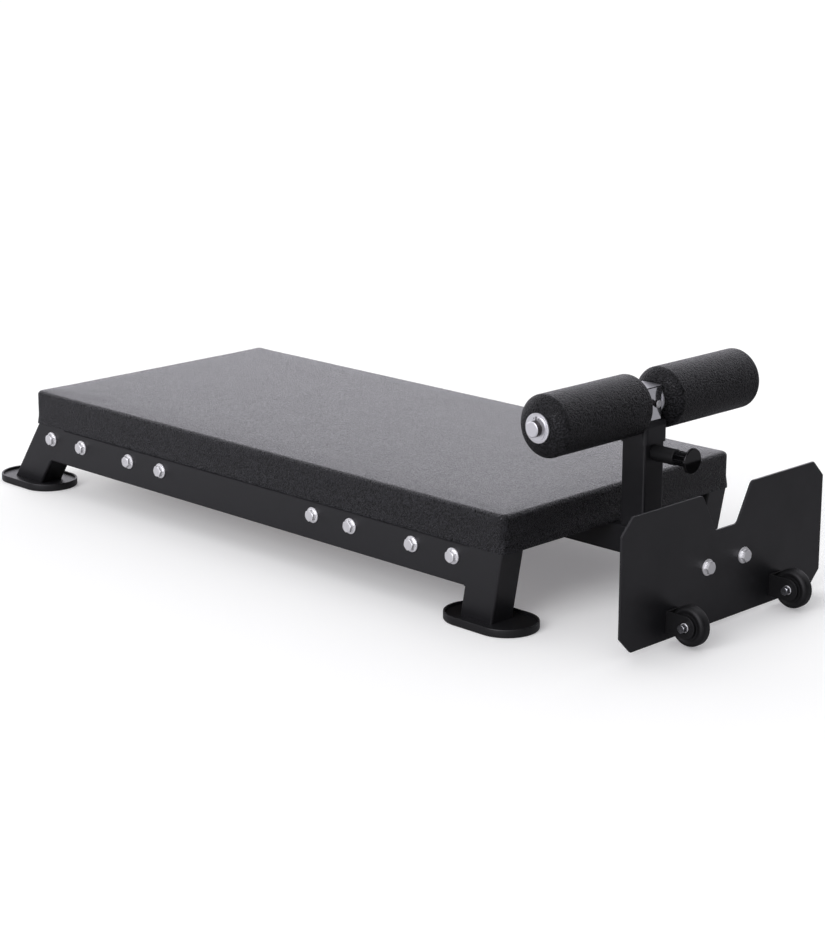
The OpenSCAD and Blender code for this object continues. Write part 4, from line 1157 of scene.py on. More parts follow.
@dataclass
class FootCups:
    """The four oval rubber cups, moulded with soft rims and a recessed floor.

    The ovals end in a narrow slot along the floor's middle line, which the leg's base plate covers.
    """

    rim_mm: float = 3.5
    floor_mm: float = 4.0
    foot_round_mm: float = 2.6
    rim_round_mm: float = 1.4
    inner_round_mm: float = 1.0
    slot_half_mm: float = 0.5
    corner_steps: int = 5
    end_steps: int = 36
    straight_steps: int = 6
    smooth_deg: float = 50.0

    def build(self) -> None:
        """Builds all four cups."""
        for end in ("head", "foot"):
            for side in Side:
                self.cup("%s_cup_%s" % (end, side.word))

    def cup(self, node: str) -> None:
        """Builds one cup inside its CAD node's box.

        Args:
            node: The CAD node that it stands for.
        """
        low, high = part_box(node)
        middle = box_middle(low, high)
        length, width, height = high - low
        rim = self.rim_mm * MM
        floor = self.floor_mm * MM
        deep = width / 2 - self.slot_half_mm * MM
        section = rounded([
            (0.0, 0.0, self.foot_round_mm * MM),
            (0.0, height, self.rim_round_mm * MM),
            (rim, height, self.rim_round_mm * MM),
            (rim, floor, self.inner_round_mm * MM),
            (deep, floor, 0.0),
            (deep, 0.0, 0.0),
        ], self.corner_steps)
        base = Vector((middle.x, middle.y, low.z))
        rings = [self.ring(base, length, width, inset, z) for inset, z in section]
        piece = swept(node + "_look", rings, self.smooth_deg)
        place_piece(piece, "frame", "cup_rubber", CUP_RUBBER, node)

    def ring(self, base: Vector, length: float, width: float, inset: float, z: float) -> list[Vector]:
        """One closed oval of a cup.

        Args:
            base: Middle of the cup's foot.
            length: The cup's length along the bench.
            width: Its width across it.
            inset: Distance of the oval inside the cup's outline.
            z: Height over the foot.

        Returns:
            The oval's points.
        """
        straight = (length - width) / 2
        radius = width / 2 - inset
        points = []
        for end, start in ((1, -90), (-1, 90)):
            for i in range(self.end_steps + 1):
                angle = math.radians(start + 180 * i / self.end_steps)
                points.append(base + Vector((
                    end * straight + radius * math.cos(angle), radius * math.sin(angle), z)))
            for i in range(1, self.straight_steps):
                x = end * straight * (1 - 2 * i / self.straight_steps)
                points.append(base + Vector((x, end * radius, z)))
        return points


@dataclass
class Wheels:
    """Two transport wheels: rounded rubber tyres on dished plastic hubs."""

    shoulder_mm: float = 7.0
    dish_mm: float = 1.6
    bulge_place_mm: float = 5.0
    bulge_round_mm: float = 3.0
    hub_edge_mm: float = 0.4
    boss_share: float = 0.42
    bore_mm: float = 8.1
    tyre_steps: int = 96
    tyre_round_steps: int = 8
    hub_steps: int = 72
    hub_round_steps: int = 3

    def build(self) -> None:
        """Builds both wheels."""
        for side in Side:
            self.tyre(side)
            self.hub(side)

    def sizes(self, node: str) -> tuple[Vector, float, float]:
        """Middle, radius and half width of a round node that lies along Y."""
        low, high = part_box(node)
        return box_middle(low, high), (high.x - low.x) / 2, (high.y - low.y) / 2

    def tyre(self, side: Side) -> None:
        """Builds one tyre.

        Args:
            side: The bench's side that it is on.
        """
        node = "tyre_" + side.word
        centre, radius, half = self.sizes(node)
        seat = self.sizes("hub_" + side.word)[1]
        shoulder = self.shoulder_mm * MM
        dish = self.dish_mm * MM
        bulge = seat + self.bulge_place_mm * MM
        soft = self.bulge_round_mm * MM
        corners = [
            (seat, -half + dish, 0.0), (bulge, -half, soft), (radius, -half, shoulder),
            (radius, half, shoulder), (bulge, half, soft), (seat, half - dish, 0.0)]
        outline = rounded(corners, self.tyre_round_steps)
        piece = turned(node + "_look", outline, centre, Axis.Y, self.tyre_steps)
        place_piece(piece, "wheel_" + side.word, "tyre_rubber", TYRE_RUBBER, node)

    def hub(self, side: Side) -> None:
        """Builds one hub.

        Args:
            side: The bench's side that it is on.
        """
        node = "hub_" + side.word
        centre, radius, half = self.sizes(node)
        dish = self.dish_mm * MM
        bore = self.bore_mm / 2 * MM
        boss = radius * self.boss_share
        edge = self.hub_edge_mm * MM
        corners = [
            (bore, -half, edge), (boss, -half, edge), (boss + dish, -half + dish, edge),
            (radius, -half + dish, 0.0), (radius, half - dish, 0.0), (boss + dish, half - dish, edge),
            (boss, half, edge), (bore, half, edge)]
        outline = rounded(corners, self.hub_round_steps)
        piece = turned(node + "_look", outline, centre, Axis.Y, self.hub_steps)
        place_piece(piece, "wheel_" + side.word, "hub_plastic", HUB_NYLON, node)


@dataclass
class RollerHead:
    """Chromed lift tube with its cap, the roller shaft, its lock screw, washers and rings."""

    tube_edge_mm: float = 0.3
    cap_edge_mm: float = 0.3
    shaft_edge_mm: float = 0.3
    ring_edge_mm: float = 0.2
    ring_rim_mm: float = 34.0
    shaft_mm: float = 25.1
    washer_edge_mm: float = 0.5
    screw_dome_mm: float = 1.2
    screw_dome_share: float = 0.6
    screw_dome_round_mm: float = 2.0
    screw_rim_round_mm: float = 0.9
    screw_under_round_mm: float = 0.4
    screw_neck_round_mm: float = 0.3
    screw_tip_round_mm: float = 0.6
    screw_gap_mm: float = 4.0
    screw_neck_mm: float = 8.6
    screw_shank_mm: float = 8.0
    screw_steps: int = 64

    def build(self) -> None:
        """Builds the whole head."""
        head = "roller_head"
        eased_copy("lift_tube", self.tube_edge_mm, head, "tube_chrome", CHROME)
        cap = eased_copy("lift_tube_cap", self.cap_edge_mm, head, "tube_chrome", CAP_NICKEL)
        # Painted shade: the cap's sides, which look across Z, get the dark steel
        paint_turned_away_shade(cap, Axis.Z, SHADE_DARK_STEEL)
        shaft = eased_copy("roller_shaft", self.shaft_edge_mm, head, "shaft_chrome", SATIN_CHROME)
        # Painted shade: the shaft's round side gets the dark steel and its ends stay bright
        paint_turned_away_shade(shaft, Axis.Y, SHADE_DARK_STEEL)
        rings = eased_copy("retaining_rings", self.ring_edge_mm, head, "zinc_steel", SATIN_CHROME)
        # Painted shade: the faces of the rings' slits and bore, inside the rim, get the dark steel
        paint_turned_away_shade(rings, Axis.Y, SHADE_DARK_STEEL, self.ring_rim_mm / 2 * MM)
        self.washers("inner_washers")
        self.washers("outer_washers")
        self.lock_screw()

    def washers(self, node: str) -> None:
        """Grows one pair of big washers.

        Args:
            node: The CAD node that they stand for.
        """
        boxes = solid_boxes(node)
        points = []
        for low, high in boxes:
            middle = box_middle(low, high)
            points.append((Vector((middle.x, low.y, middle.z)), Vector(Axis.Y.value)))
        low, high = boxes[0]
        piece = WasherTree().grow(
            node + "_look", points, SATIN_CHROME, outside=(high.x - low.x) / MM, inside=self.shaft_mm,
            thickness=(high.y - low.y) / MM, edge_round=self.washer_edge_mm)
        place_piece(piece, "roller_head", "shaft_chrome", SATIN_CHROME, node)

    def lock_screw(self) -> None:
        """Turns the lock screw: a slightly domed round head on a neck, with its shank."""
        low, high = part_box("shaft_lock_screw")
        centre = box_middle(low, high)
        centre.x = 0.0
        head = (high.z - low.z) / 2
        tube_front = reach("lift_tube", Axis.X)[1]
        base = tube_front + self.screw_gap_mm * MM
        shank = self.screw_shank_mm / 2 * MM
        neck = self.screw_neck_mm / 2 * MM
        dome = self.screw_dome_mm * MM
        corners = [
            (0.0, low.x, 0.0), (shank, low.x, self.screw_tip_round_mm * MM),
            (shank, tube_front, 0.0), (neck, tube_front, 0.0),
            (neck, base, self.screw_neck_round_mm * MM), (head, base, self.screw_under_round_mm * MM),
            (head, high.x - dome, self.screw_rim_round_mm * MM),
            (head * self.screw_dome_share, high.x, self.screw_dome_round_mm * MM), (0.0, high.x, 0.0),
        ]
        piece = turned("shaft_lock_screw_look", rounded(corners), centre, Axis.X, self.screw_steps,
                       closed=False)
        place_piece(piece, "roller_head", "tube_chrome", ZINC, "shaft_lock_screw")
        # Painted shade: the sides of the head, neck and shank, which look across X, get the dark steel
        paint_turned_away_shade(piece, Axis.X, SHADE_DARK_STEEL)


@dataclass
class AnkleRollers:
    """Two foam rolls under a grained skin, domed at both ends."""

    end_depth_mm: float = 17.0
    end_flat_mm: float = 48.0
    end_power: float = 1.5
    bore_mm: float = 31.1
    ring_mm: float = 5.0
    steps: int = 128
    end_steps: int = 18
    wave_mm: float = 0.25
    wave_length_mm: float = 45.0
    slack_mm: float = 0.5
    swell_cap_mm: float = 0.5
    pressure: float = 3.0
    firm_margin_mm: float = 1.0
    ease_mm: float = 6.0
    noise_step: float = 9.0
    face_rows: int = 4
    bore_rows: int = 12
    smooth_deg: float = 60.0

    def build(self) -> None:
        """Builds both rolls and finishes their hidden sleeves."""
        for side in Side:
            self.roll(side)
            dress_nodes(COLLAR_NYLON, "roller_sleeve_" + side.word)

    def profile(self, radius: float, half: float) -> list[tuple[float, float]]:
        """The roll's half section.

        Args:
            radius: Outer radius.
            half: Half of the roll's length.

        Returns:
            Points of (radius, place) from one bore edge round to the other.
        """
        flat = self.end_flat_mm / 2 * MM
        drop = radius - flat
        depth = self.end_depth_mm * MM
        bore = self.bore_mm / 2 * MM
        curve = []
        for i in range(self.end_steps + 1):
            angle = math.radians(90 * i / self.end_steps)
            curve.append((
                flat + drop * math.sin(angle) ** (2 / self.end_power),
                half - depth * (1 - math.cos(angle) ** (2 / self.end_power))))
        rows = max(2, round((2 * half - 2 * depth) / (self.ring_mm * MM)))
        middle = [(radius, (half - depth) * (1 - 2 * i / rows)) for i in range(1, rows)]
        face = [(bore + (flat - bore) * i / self.face_rows, half) for i in range(self.face_rows)]
        low_face = [(r, -y) for r, y in reversed(face)]
        low_curve = [(r, -y) for r, y in reversed(curve)]
        wall = [(bore, -half + 2 * half * i / self.bore_rows) for i in range(1, self.bore_rows)]
        return face + curve + middle + low_curve + low_face + wall

    def roll(self, side: Side) -> None:
        """Builds one roll, swells its skin and leaves it slightly uneven.

        Args:
            side: The bench's side that it is on.
        """
        node = "roller_foam_" + side.word
        low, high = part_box(node)
        centre = box_middle(low, high)
        radius = (high.z - low.z) / 2
        half = (high.y - low.y) / 2
        slack = self.slack_mm * MM
        outline = self.profile(radius, half)
        piece = turned(
            node + "_look", outline, centre, Axis.Y, self.steps, smooth_angle=self.smooth_deg)
        firm = self.end_flat_mm / 2 * MM + self.firm_margin_mm * MM
        shift = Vector((0, 0, side.value * self.noise_step))
        held = set()
        for vertex in piece.data.vertices:
            spoke = Vector((vertex.co.x - centre.x, 0.0, vertex.co.z - centre.z))
            away = spoke.length
            if away < firm:
                held.add(vertex.index)
                continue
            place = vertex.co / (self.wave_length_mm * MM)
            dip = self.wave_mm * MM * (0.5 + 0.5 * noise.noise(place + shift))
            share = min(1.0, (away - firm) / (self.ease_mm * MM))
            vertex.co -= spoke.normalized() * (dip + slack) * share
        swell(piece, held, self.pressure, self.swell_cap_mm)
        place_piece(piece, "roller_" + side.word, "roller_cover", ROLLER_SKIN, node)


@dataclass
class PullPin:
    """Spring pull pin: glossy knob, steel plunger and its spring in the barrel.

    The barrel reaches a little further out than its CAD node and the knob's neck starts as much
    later, as the photograph shows them.
    """

    knob_edge_mm: float = 1.0
    barrel_edge_mm: float = 1.0
    longer_mm: float = 9.0

    def build(self) -> None:
        """Builds the barrel and the knob and finishes the hidden pieces."""
        barrel = broken_edges("pin_barrel", self.barrel_edge_mm)
        self.slide_end(barrel, reach("pin_barrel", Axis.X)[1])
        place_piece(barrel, "frame", "frame_paint", DULL_COAT_AND_SHADE, "pin_barrel")
        knob = broken_edges("pin_knob", self.knob_edge_mm, 3)
        self.slide_end(knob, reach("pin_knob", Axis.X)[0])
        place_piece(knob, "pull_pin", "knob_plastic", KNOB_GLOSS, "pin_knob")
        dress_nodes(ZINC, "pin_plunger")
        dress_nodes(SPRING_WIRE, "pin_spring")

    def slide_end(self, piece: bpy.types.Object, place: float) -> None:
        """Moves one flat end of a piece outwards along the pin.

        Args:
            piece: The barrel or the knob.
            place: Where that end lies along X.
        """
        for vertex in piece.data.vertices:
            if abs(vertex.co.x - place) < LEVEL_MM * MM:
                vertex.co.x += self.longer_mm * MM


@dataclass
class PostBushing:
    """Moulded collar on the post's top, with shoulders that follow the rollers."""

    edge_mm: float = 0.8

    def build(self) -> None:
        """Builds the collar's look."""
        eased_copy("post_bushing", self.edge_mm, "frame", "bushing_plastic", COLLAR_NYLON, 3)


@dataclass
class BoltGroup:
    """One group of equal bolts, nuts or washers of the CAD model."""

    node: str
    body: str
    finish: Finish
    slot: str
    axis: Axis
    thread_mm: float

    def aim(self, low: Vector, high: Vector) -> Vector:
        """Direction that a bolt's head faces: away from the bench's middle line along Y."""
        direction = Vector(self.axis.value)
        if self.axis is Axis.Y and box_middle(low, high).y < 0:
            return -direction
        return direction

    def across(self, low: Vector, high: Vector) -> float:
        """Smallest width square to the axis, in millimetres: the width across the flats."""
        widths = [(high - low)[i] for i in range(3) if i != self.axis.index]
        return min(widths) / MM

    def length(self, low: Vector, high: Vector) -> float:
        """Length along the axis, in millimetres."""
        return (high - low)[self.axis.index] / MM

    def end(self, low: Vector, high: Vector, aim: Vector, head: bool) -> Vector:
        """The end of a solid on its axis, on the head's side or the other."""
        place = box_middle(low, high)
        forward = aim[self.axis.index] > 0
        place[self.axis.index] = (high if forward == head else low)[self.axis.index]
        return place


@dataclass
class Bolts(BoltGroup):
    """Hexagon bolts with a real thread at their ends."""

    head_mm: float = 7.5
    pitch_mm: float = 1.75
    threaded_mm: float = 26.0
    plain_mm: float = 2.0
    always: Vector | None = None

    def build(self) -> None:
        """Grows the group."""
        points = []
        boxes = solid_boxes(self.node)
        for low, high in boxes:
            aim = self.always or self.aim(low, high)
            points.append((self.end(low, high, aim, True) - aim * self.head_mm * MM, aim))
        low, high = boxes[0]
        total = self.length(low, high)
        piece = BoltTree().grow(
            self.node + "_look", points, self.finish, across_flats=self.across(low, high),
            head_height=self.head_mm, thread=self.thread_mm, length=total - self.head_mm,
            threaded_length=min(self.threaded_mm, total - self.head_mm - self.plain_mm),
            pitch=self.pitch_mm)
        place_piece(piece, self.body, self.slot, self.finish, self.node)


@dataclass
class Nuts(BoltGroup):
    """Hexagon nuts, both faces chamfered."""

    def build(self) -> None:
        """Grows the group."""
        boxes = solid_boxes(self.node)
        aim = Vector(self.axis.value)
        points = [(self.end(low, high, aim, False), aim) for low, high in boxes]
        low, high = boxes[0]
        piece = NutTree().grow(
            self.node + "_look", points, self.finish, across_flats=self.across(low, high),
            height=self.length(low, high), thread=self.thread_mm)
        place_piece(piece, self.body, self.slot, self.finish, self.node)


@dataclass
class Washers(BoltGroup):
    """Punched flat washers."""

    edge_mm: float = 0.35
    room_mm: float = 0.1

    def build(self) -> None:
        """Grows the group."""
        boxes = solid_boxes(self.node)
        aim = Vector(self.axis.value)
        points = [(self.end(low, high, aim, False), aim) for low, high in boxes]
        low, high = boxes[0]
        piece = WasherTree().grow(
            self.node + "_look", points, self.finish, outside=self.across(low, high),
            inside=self.thread_mm + self.room_mm, thickness=self.length(low, high),
            edge_round=self.edge_mm)
        place_piece(piece, self.body, self.slot, self.finish, self.node)


@dataclass
class Fasteners:
    """All bolts, nuts and washers of the frame, pad, wheels and roller head."""

    frame_thread_mm: float = 12.0
    small_thread_mm: float = 8.0
    frame_head_mm: float = 7.5
    axle_head_mm: float = 8.5
    pad_head_mm: float = 5.0
    small_pitch_mm: float = 1.25
    axle_threaded_mm: float = 14.0
    pad_threaded_mm: float = 20.0

    def build(self) -> None:
        """Grows every group."""
        big = self.frame_thread_mm
        small = self.small_thread_mm
        out = Vector(Axis.X.value)
        groups = (("rail", Axis.Y, None), ("beam", Axis.X, -out), ("plate", Axis.X, out))
        for place, axis, always in groups:
            Bolts(place + "_bolts", "frame", ZINC, "zinc_steel", axis, big,
                  head_mm=self.frame_head_mm, always=always).build()
            Washers(place + "_washers", "frame", ZINC, "zinc_steel", axis, big).build()
            Nuts(place + "_nuts", "frame", ZINC, "zinc_steel", axis, big).build()
        near = -Vector(Axis.Y.value)
        Bolts("axle_bolts", "frame", DARK_ZINC, "zinc_steel", Axis.Y, small, head_mm=self.axle_head_mm,
              pitch_mm=self.small_pitch_mm, threaded_mm=self.axle_threaded_mm, always=near).build()
        Washers("axle_washers", "frame", ZINC, "zinc_steel", Axis.Y, small).build()
        Nuts("axle_nuts", "frame", ZINC, "zinc_steel", Axis.Y, small).build()
        Nuts("shaft_lock_nut", "roller_head", ZINC, "zinc_steel", Axis.X, small).build()
        down = -Vector(Axis.Z.value)
        Bolts("pad_bolts", "frame", ZINC, "zinc_steel", Axis.Z, small, head_mm=self.pad_head_mm,
              pitch_mm=self.small_pitch_mm, threaded_mm=self.pad_threaded_mm, always=down).build()
        dress_nodes(ZINC, "pad_tee_nuts")


@dataclass
class Pad:
    """The long pad: foam under a grained cover, pulled over a plywood board."""

    corner_mm: float = 14.0
    edge_mm: float = 9.0
    fullness_mm: tuple[float, float] = (2.4, 0.6)
    lower_edge_mm: float = 0.5
    crown_mm: float = 2.0
    draw_in_mm: float = 1.5
    board_mm: float = 15.0
    margin_mm: float = 20.0
    fine_mm: float = 2.5
    coarse_mm: float = 9.0
    slack_mm: float = 1.2
    swell_cap_mm: float = 1.2
    pressure: float = 4.0
    pucker_mm: float = 0.35
    ripple_mm: tuple[float, float] = (38.0, 13.0)
    ease_mm: float = 20.0
    draw_band_mm: float = 60.0
    smooth_deg: float = 60.0
    grid_digits: int = 7

    def build(self) -> None:
        """Builds the cover, swells it and finishes the board."""
        piece, held = self.cover()
        swell(piece, held, self.pressure, self.swell_cap_mm)
        place_piece(piece, "frame", "pad_cover", PAD_SKIN, "pad_cushion")
        dress_nodes(PLYWOOD, "pad_board")

    def lines(self, half: float, fine_band: float, fixed: float) -> list[float]:
        """Places of the cover's mesh lines from one edge to the other.

        Args:
            half: Half of the size that they cross.
            fine_band: Width at each edge where they lie close.
            fixed: Distance from the edge where a line must lie.

        Returns:
            The places, symmetric about 0.
        """
        fine = self.fine_mm * MM
        coarse = self.coarse_mm * MM
        count = max(1, round(fine_band / fine))
        side = [half - fine_band * i / count for i in range(count + 1)]
        if fixed > fine_band + CLOSE:
            side.append(half - fixed)
        inner = side[-1]
        rows = max(2, 2 * round(inner / coarse))
        middle = [inner - 2 * inner * i / rows for i in range(1, rows)]
        return sorted(side + middle + [-value for value in side])

    def shaped(self, point: Vector, half: Vector) -> Vector:
        """Moves a point of the plain box to its place on the finished cover.

        Args:
            point: A point on the box whose middle is 0 and whose foot is Z 0.
            half: Half sizes in X and Y, and the whole thickness in Z.

        Returns:
            The point on the rounded, crowned and drawn-in cover.
        """
        corner = self.corner_mm * MM
        lead = Vector((
            max(abs(point.x) - (half.x - corner), 0.0), max(abs(point.y) - (half.y - corner), 0.0)))
        flat_reach = max(lead.x, lead.y)
        if lead.x > 0 and lead.y > 0:
            lead = lead * (flat_reach / lead.length)
        x = min(abs(point.x), half.x - corner) + lead.x
        y = min(abs(point.y), half.y - corner) + lead.y
        inset = min(half.x - abs(point.x), half.y - abs(point.y))
        top = half.z
        z = point.z
        outward = Vector((lead.x, lead.y)).normalized() if flat_reach > 0 else Vector((0.0, 0.0))
        pull = 0.0
        for radius, level, sign in ((self.edge_mm * MM, top, -1), (self.lower_edge_mm * MM, 0.0, 1)):
            depth = abs(point.z - level)
            if depth < TINY and inset < radius:
                angle = math.radians(EIGHTH_DEG + EIGHTH_DEG * inset / radius)
            elif inset < TINY and depth < radius:
                angle = math.radians(EIGHTH_DEG - EIGHTH_DEG * depth / radius)
            else:
                continue
            pull = radius * (1 - math.cos(angle)) - (inset if depth < TINY else 0.0)
            z = level + sign * radius * (1 - math.sin(angle))
        place = Vector((x, y)) - outward * pull
        share_x = place.x / half.x
        share_y = place.y / half.y
        side_share = max(0.0, 1 - inset / (self.draw_band_mm * MM))
        if half.x - abs(point.x) < half.y - abs(point.y):
            place.x -= self.draw_in_mm * MM * max(0.0, 1 - share_y ** 2) * side_share
        else:
            place.y -= self.draw_in_mm * MM * max(0.0, 1 - share_x ** 2) * side_share
        if point.z > top - TINY:
            rise = 1 - max(0.0, 1 - inset / half.y) ** 2
            z += self.crown_mm * MM * rise
        return Vector((math.copysign(place.x, point.x), math.copysign(place.y, point.y), z))

    def cover(self) -> tuple[bpy.types.Object, set[int]]:
        """Builds the cover as a closed grid with a pocket below for the board.

        Returns:
            The piece and the indices of the points that the board holds.
        """
        low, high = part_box("pad_cushion")
        middle = box_middle(low, high)
        slack = self.slack_mm * MM
        full_x, full_y = (value * MM for value in self.fullness_mm)
        half = Vector((
            (high.x - low.x) / 2 + full_x, (high.y - low.y) / 2 + full_y,
            high.z - low.z - self.crown_mm * MM))
        band = self.corner_mm * MM
        margin = self.margin_mm * MM
        xs = self.lines(half.x, band, margin + full_x)
        ys = self.lines(half.y, band, margin + full_y)
        zs = self.heights(half.z)
        mesh = bmesh.new()
        made: dict[tuple[float, float, float], bmesh.types.BMVert] = {}

        def vertex(x: float, y: float, z: float) -> bmesh.types.BMVert:
            """Finds or makes the vertex at a grid place."""
            key = tuple(round(value, self.grid_digits) for value in (x, y, z))
            if key not in made:
                made[key] = mesh.verts.new((x, y, z))
            return made[key]

        def patch(corner_points: list[tuple[float, float, float]]) -> None:
            """Adds one face of the grid."""
            mesh.faces.new([vertex(*corner) for corner in corner_points])

        pocket_x = half.x - margin - full_x
        pocket_y = half.y - margin - full_y
        board = self.board_mm * MM
        for x0, x1 in zip(xs, xs[1:]):
            for y0, y1 in zip(ys, ys[1:]):
                patch([(x0, y0, half.z), (x1, y0, half.z), (x1, y1, half.z), (x0, y1, half.z)])
                inside = abs(x0 + x1) / 2 < pocket_x and abs(y0 + y1) / 2 < pocket_y
                z = board if inside else 0.0
                patch([(x0, y0, z), (x0, y1, z), (x1, y1, z), (x1, y0, z)])
        for z0, z1 in zip(zs, zs[1:]):
            for x0, x1 in zip(xs, xs[1:]):
                for y in (-half.y, half.y):
                    patch([(x0, y, z0), (x1, y, z0), (x1, y, z1), (x0, y, z1)])
            for y0, y1 in zip(ys, ys[1:]):
                for x in (-half.x, half.x):
                    patch([(x, y0, z0), (x, y1, z0), (x, y1, z1), (x, y0, z1)])
        for x0, x1 in zip(xs, xs[1:]):
            if abs(x0 + x1) / 2 < pocket_x:
                for y in (-pocket_y, pocket_y):
                    patch([(x0, y, 0.0), (x1, y, 0.0), (x1, y, board), (x0, y, board)])
        for y0, y1 in zip(ys, ys[1:]):
            if abs(y0 + y1) / 2 < pocket_y:
                for x in (-pocket_x, pocket_x):
                    patch([(x, y0, 0.0), (x, y1, 0.0), (x, y1, board), (x, y0, board)])
        bmesh.ops.recalc_face_normals(mesh, faces=mesh.faces)
        mesh.verts.ensure_lookup_table()
        held = set()
        for point in mesh.verts:
            start = point.co.copy()
            in_pocket = abs(start.x) < pocket_x + CLOSE and abs(start.y) < pocket_y + CLOSE
            on_board = in_pocket and start.z <= half.z - CLOSE
            if not on_board:
                point.co = self.shaped(start, half)
            if on_board or start.z < CLOSE:
                held.add(point.index)
        mesh.normal_update()
        wide, close = (value * MM for value in self.ripple_mm)
        for point in mesh.verts:
            if point.index in held:
                continue
            ripple = noise.noise(point.co / wide) + 0.5 * noise.noise(point.co / close)
            share = min(1.0, point.co.z / (self.ease_mm * MM))
            point.co -= point.normal * (slack + self.pucker_mm * MM * (0.5 + 0.5 * ripple)) * share
        base = Vector((middle.x, middle.y, low.z))
        for point in mesh.verts:
            point.co += base
        return new_piece("pad_cover", mesh, self.smooth_deg), held

    def heights(self, top: float) -> list[float]:
        """Heights of the mesh lines on the pad's sides, closer at both edges.

        Args:
            top: The pad's thickness at its edges.

        Returns:
            The heights from 0 to the top.
        """
        lower = self.lower_edge_mm * MM
        upper = self.edge_mm * MM
        fine = self.fine_mm * MM
        low_count = max(2, round(lower / fine))
        high_count = max(3, round(upper / fine))
        low_lines = [lower * i / low_count for i in range(low_count + 1)]
        high_lines = [top - upper + upper * i / high_count for i in range(high_count + 1)]
        span = top - upper - lower
        rows = max(2, round(span / (2 * fine)))
        middle = [lower + span * i / rows for i in range(1, rows)]
        return low_lines + middle + high_lines


# Studio


@dataclass(frozen=True)
class Lamp:
    """A wide soft light: the way from the bench to it, its strength and the width of its disc."""

    name: str
    toward: tuple[float, float, float]
    strength: float
    softness_deg: float


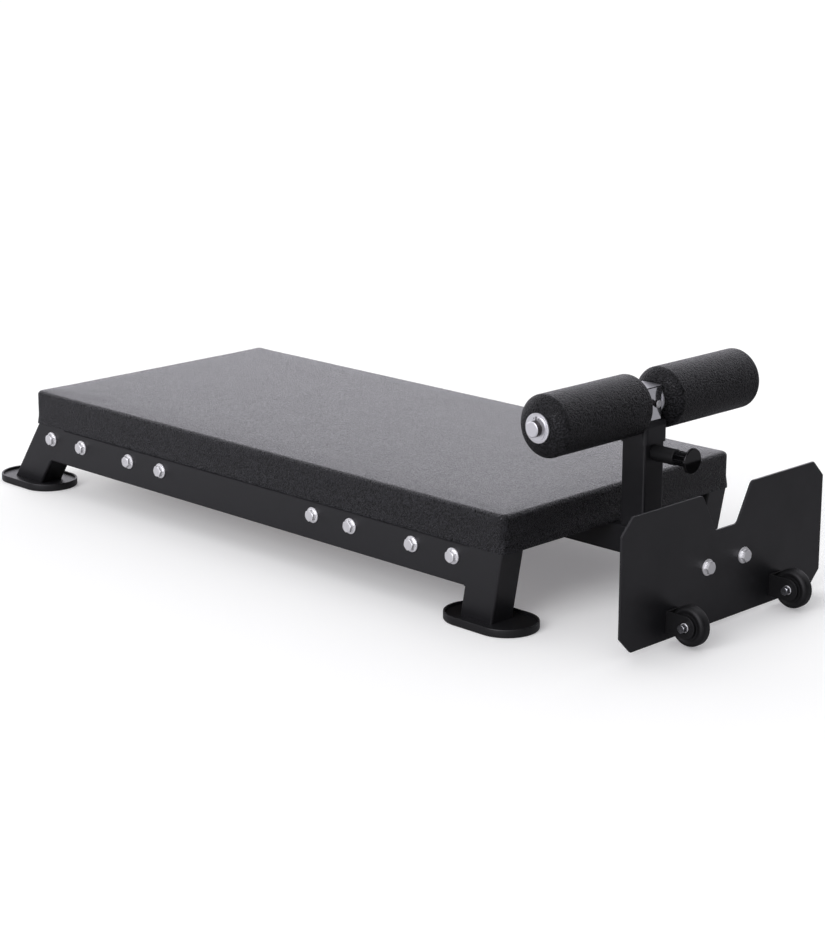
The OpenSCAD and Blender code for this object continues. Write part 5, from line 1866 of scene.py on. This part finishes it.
@dataclass
class Studio:
    """Pale floor, soft light from behind, above and in front, and the camera at the photograph's angle."""

    azimuth_deg: float = 45.03
    elevation_deg: float = 14.935
    focal_px: float = 2310.3
    image_height_px: float = 930.0
    sensor_mm: float = 36.0
    stand_off: tuple[float, float, float] = (2.89093, -2.76606, 1.1709)
    floor_size: float = 60.0
    floor_paper: tuple[float, float, float] = (0.863, 0.877, 0.820)
    floor_glow: tuple[float, float, float] = (0.193, 0.190, 0.200)
    # Painted light: the floor's colour towards the object is graded by place, brighter towards the front
    # and brightest in a patch far in front
    bounce_toward: tuple[float, float, float] = (-0.35, -1.0, 0.0)
    bounce_levels: tuple[float, float] = (0.3, 0.48)
    bounce_span: tuple[float, float] = (-1.0, 0.8)
    front_bounce: float = 0.28
    front_span: tuple[float, float] = (1.0, 1.4)
    air_tint: tuple[float, float, float] = (0.945, 0.93, 1.0)
    sky_toward: tuple[float, float, float] = (-0.7071, 0.7071, 0.0)
    sky_span: tuple[float, float] = (0.0, 0.95)
    bright_sky: float = 1.73
    far_clip: float = 200.0
    lamps: tuple[Lamp, ...] = (
        Lamp("front light", (0.1, -1.0, 0.45), 1.66, 40.0),
        Lamp("top light", (0.0, -0.15, 1.0), 1.245, 80.0),
        Lamp("fill light", (0.6, -0.8, 0.35), 0.726, 70.0))

    def build(self) -> None:
        """Sets the camera, the floor, the surroundings and the lights."""
        scene = bpy.context.scene
        scene.view_settings.view_transform = "Standard"
        self.camera()
        self.floor()
        self.sky()
        for lamp in self.lamps:
            self.sun(lamp)

    def camera(self) -> None:
        """Places the camera by the photograph's own perspective."""
        scene = bpy.context.scene
        around = math.radians(self.azimuth_deg)
        up = math.radians(self.elevation_deg)
        right = Vector((math.cos(around), math.sin(around), 0.0))
        forward = Vector((
            -math.sin(around) * math.cos(up), math.cos(around) * math.cos(up), -math.sin(up)))
        above = right.cross(forward)
        middle = box_middle(*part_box("pad_cushion"))
        place = Vector(self.stand_off) + Vector((middle.x, 0.0, 0.0))
        data = bpy.data.cameras.new("camera")
        data.sensor_width = self.sensor_mm
        data.sensor_height = self.sensor_mm
        data.sensor_fit = "VERTICAL"
        data.lens = self.focal_px * self.sensor_mm / self.image_height_px
        data.clip_end = self.far_clip
        holder = bpy.data.objects.new("camera", data)
        turn = Matrix((right, above, -forward)).transposed().to_4x4()
        holder.matrix_world = Matrix.Translation(place) @ turn
        scene.collection.objects.link(holder)
        scene.camera = holder

    def floor(self) -> None:
        """Lays a wide pale floor that lights the object less than it shows, with painted light graded by
        place in what it throws back.
        """
        size = self.floor_size / 2
        mesh = bmesh.new()
        for x, y in ((-size, -size), (size, -size), (size, size), (-size, size)):
            mesh.verts.new((x, y, 0.0))
        mesh.faces.new(mesh.verts)
        floor = new_piece("floor", mesh)
        paint = bpy.data.materials.new("floor paper")
        paint.use_nodes = True
        tree = paint.node_tree
        tree.nodes.clear()
        shown = add(tree, "ShaderNodeBsdfDiffuse", {"Color": (*self.floor_paper, 1.0)})
        glow = add(tree, "ShaderNodeEmission", {"Color": (*self.floor_glow, 1.0), "Strength": 1.0})
        lifted_paper = add(tree, "ShaderNodeAddShader", {0: shown.outputs[0], 1: glow.outputs[0]})
        # Painted light: the colour that the object sees is graded by place, with a brighter patch in front
        place = add(tree, "ShaderNodeTexCoord").outputs["Object"]
        across = add(tree, "ShaderNodeVectorMath", {
            0: place, 1: self.bounce_toward}, operation="DOT_PRODUCT").outputs["Value"]
        level = add(tree, "ShaderNodeMapRange", {
            "Value": across, "From Min": self.bounce_span[0], "From Max": self.bounce_span[1],
            "To Min": self.bounce_levels[0], "To Max": self.bounce_levels[1]})
        front = add(tree, "ShaderNodeMapRange", {
            "Value": across, "From Min": self.front_span[0], "From Max": self.front_span[1],
            "To Min": 0.0, "To Max": self.front_bounce}, interpolation_type="SMOOTHSTEP")
        total = add(tree, "ShaderNodeMath", {
            0: level.outputs["Result"], 1: front.outputs["Result"]}, operation="ADD")
        bounce = add(tree, "ShaderNodeBsdfDiffuse", {"Color": total.outputs["Value"]})
        ray = add(tree, "ShaderNodeLightPath")
        mixed = add(tree, "ShaderNodeMixShader", {
            0: ray.outputs["Is Camera Ray"], 1: bounce.outputs[0], 2: lifted_paper.outputs[0]})
        add(tree, "ShaderNodeOutputMaterial", {"Surface": mixed.outputs[0]})
        floor.data.materials.append(paint)

    def sky(self) -> None:
        """Surrounds the scene with white for the camera and one wide pale wall behind the bench."""
        world = bpy.data.worlds.new("studio")
        world.use_nodes = True
        tree = world.node_tree
        tree.nodes.clear()
        place = add(tree, "ShaderNodeTexCoord").outputs["Generated"]
        toward = add(tree, "ShaderNodeVectorMath", {0: place, 1: self.sky_toward}, operation="DOT_PRODUCT")
        level = add(tree, "ShaderNodeMapRange", {
            "Value": toward.outputs["Value"], "From Min": self.sky_span[0], "From Max": self.sky_span[1],
            "To Min": 0.0, "To Max": self.bright_sky}, interpolation_type="SMOOTHSTEP")
        glow = add(tree, "ShaderNodeBackground", {
            "Color": (*self.air_tint, 1.0), "Strength": level.outputs["Result"]})
        white = add(tree, "ShaderNodeBackground", {"Color": (1.0, 1.0, 1.0, 1.0), "Strength": 1.0})
        ray = add(tree, "ShaderNodeLightPath")
        mixed = add(tree, "ShaderNodeMixShader", {
            0: ray.outputs["Is Camera Ray"], 1: glow.outputs[0], 2: white.outputs[0]})
        add(tree, "ShaderNodeOutputWorld", {"Surface": mixed.outputs[0]})
        bpy.context.scene.world = world

    def sun(self, lamp: Lamp) -> None:
        """Adds a light that falls the same on the whole floor.

        Args:
            lamp: What the light is like.
        """
        data = bpy.data.lights.new(lamp.name, "SUN")
        data.energy = lamp.strength
        data.color = self.air_tint
        data.angle = math.radians(lamp.softness_deg)
        holder = bpy.data.objects.new(lamp.name, data)
        holder.rotation_euler = Vector(lamp.toward).to_track_quat("Z", "Y").to_euler()
        bpy.context.scene.collection.objects.link(holder)


def main() -> None:
    """Builds the bench from its sub-assemblies and sets it in the studio."""
    logging.basicConfig(level=logging.INFO, format="%(name)s: %(message)s")
    for assembly in (SteelFrame(), FootCups(), Wheels(), RollerHead(), AnkleRollers(), PullPin(),
                     PostBushing(), Fasteners(), Pad(), Studio()):
        LOG.info("building %s", type(assembly).__name__)
        assembly.build()


if __name__ == "__main__":
    main()
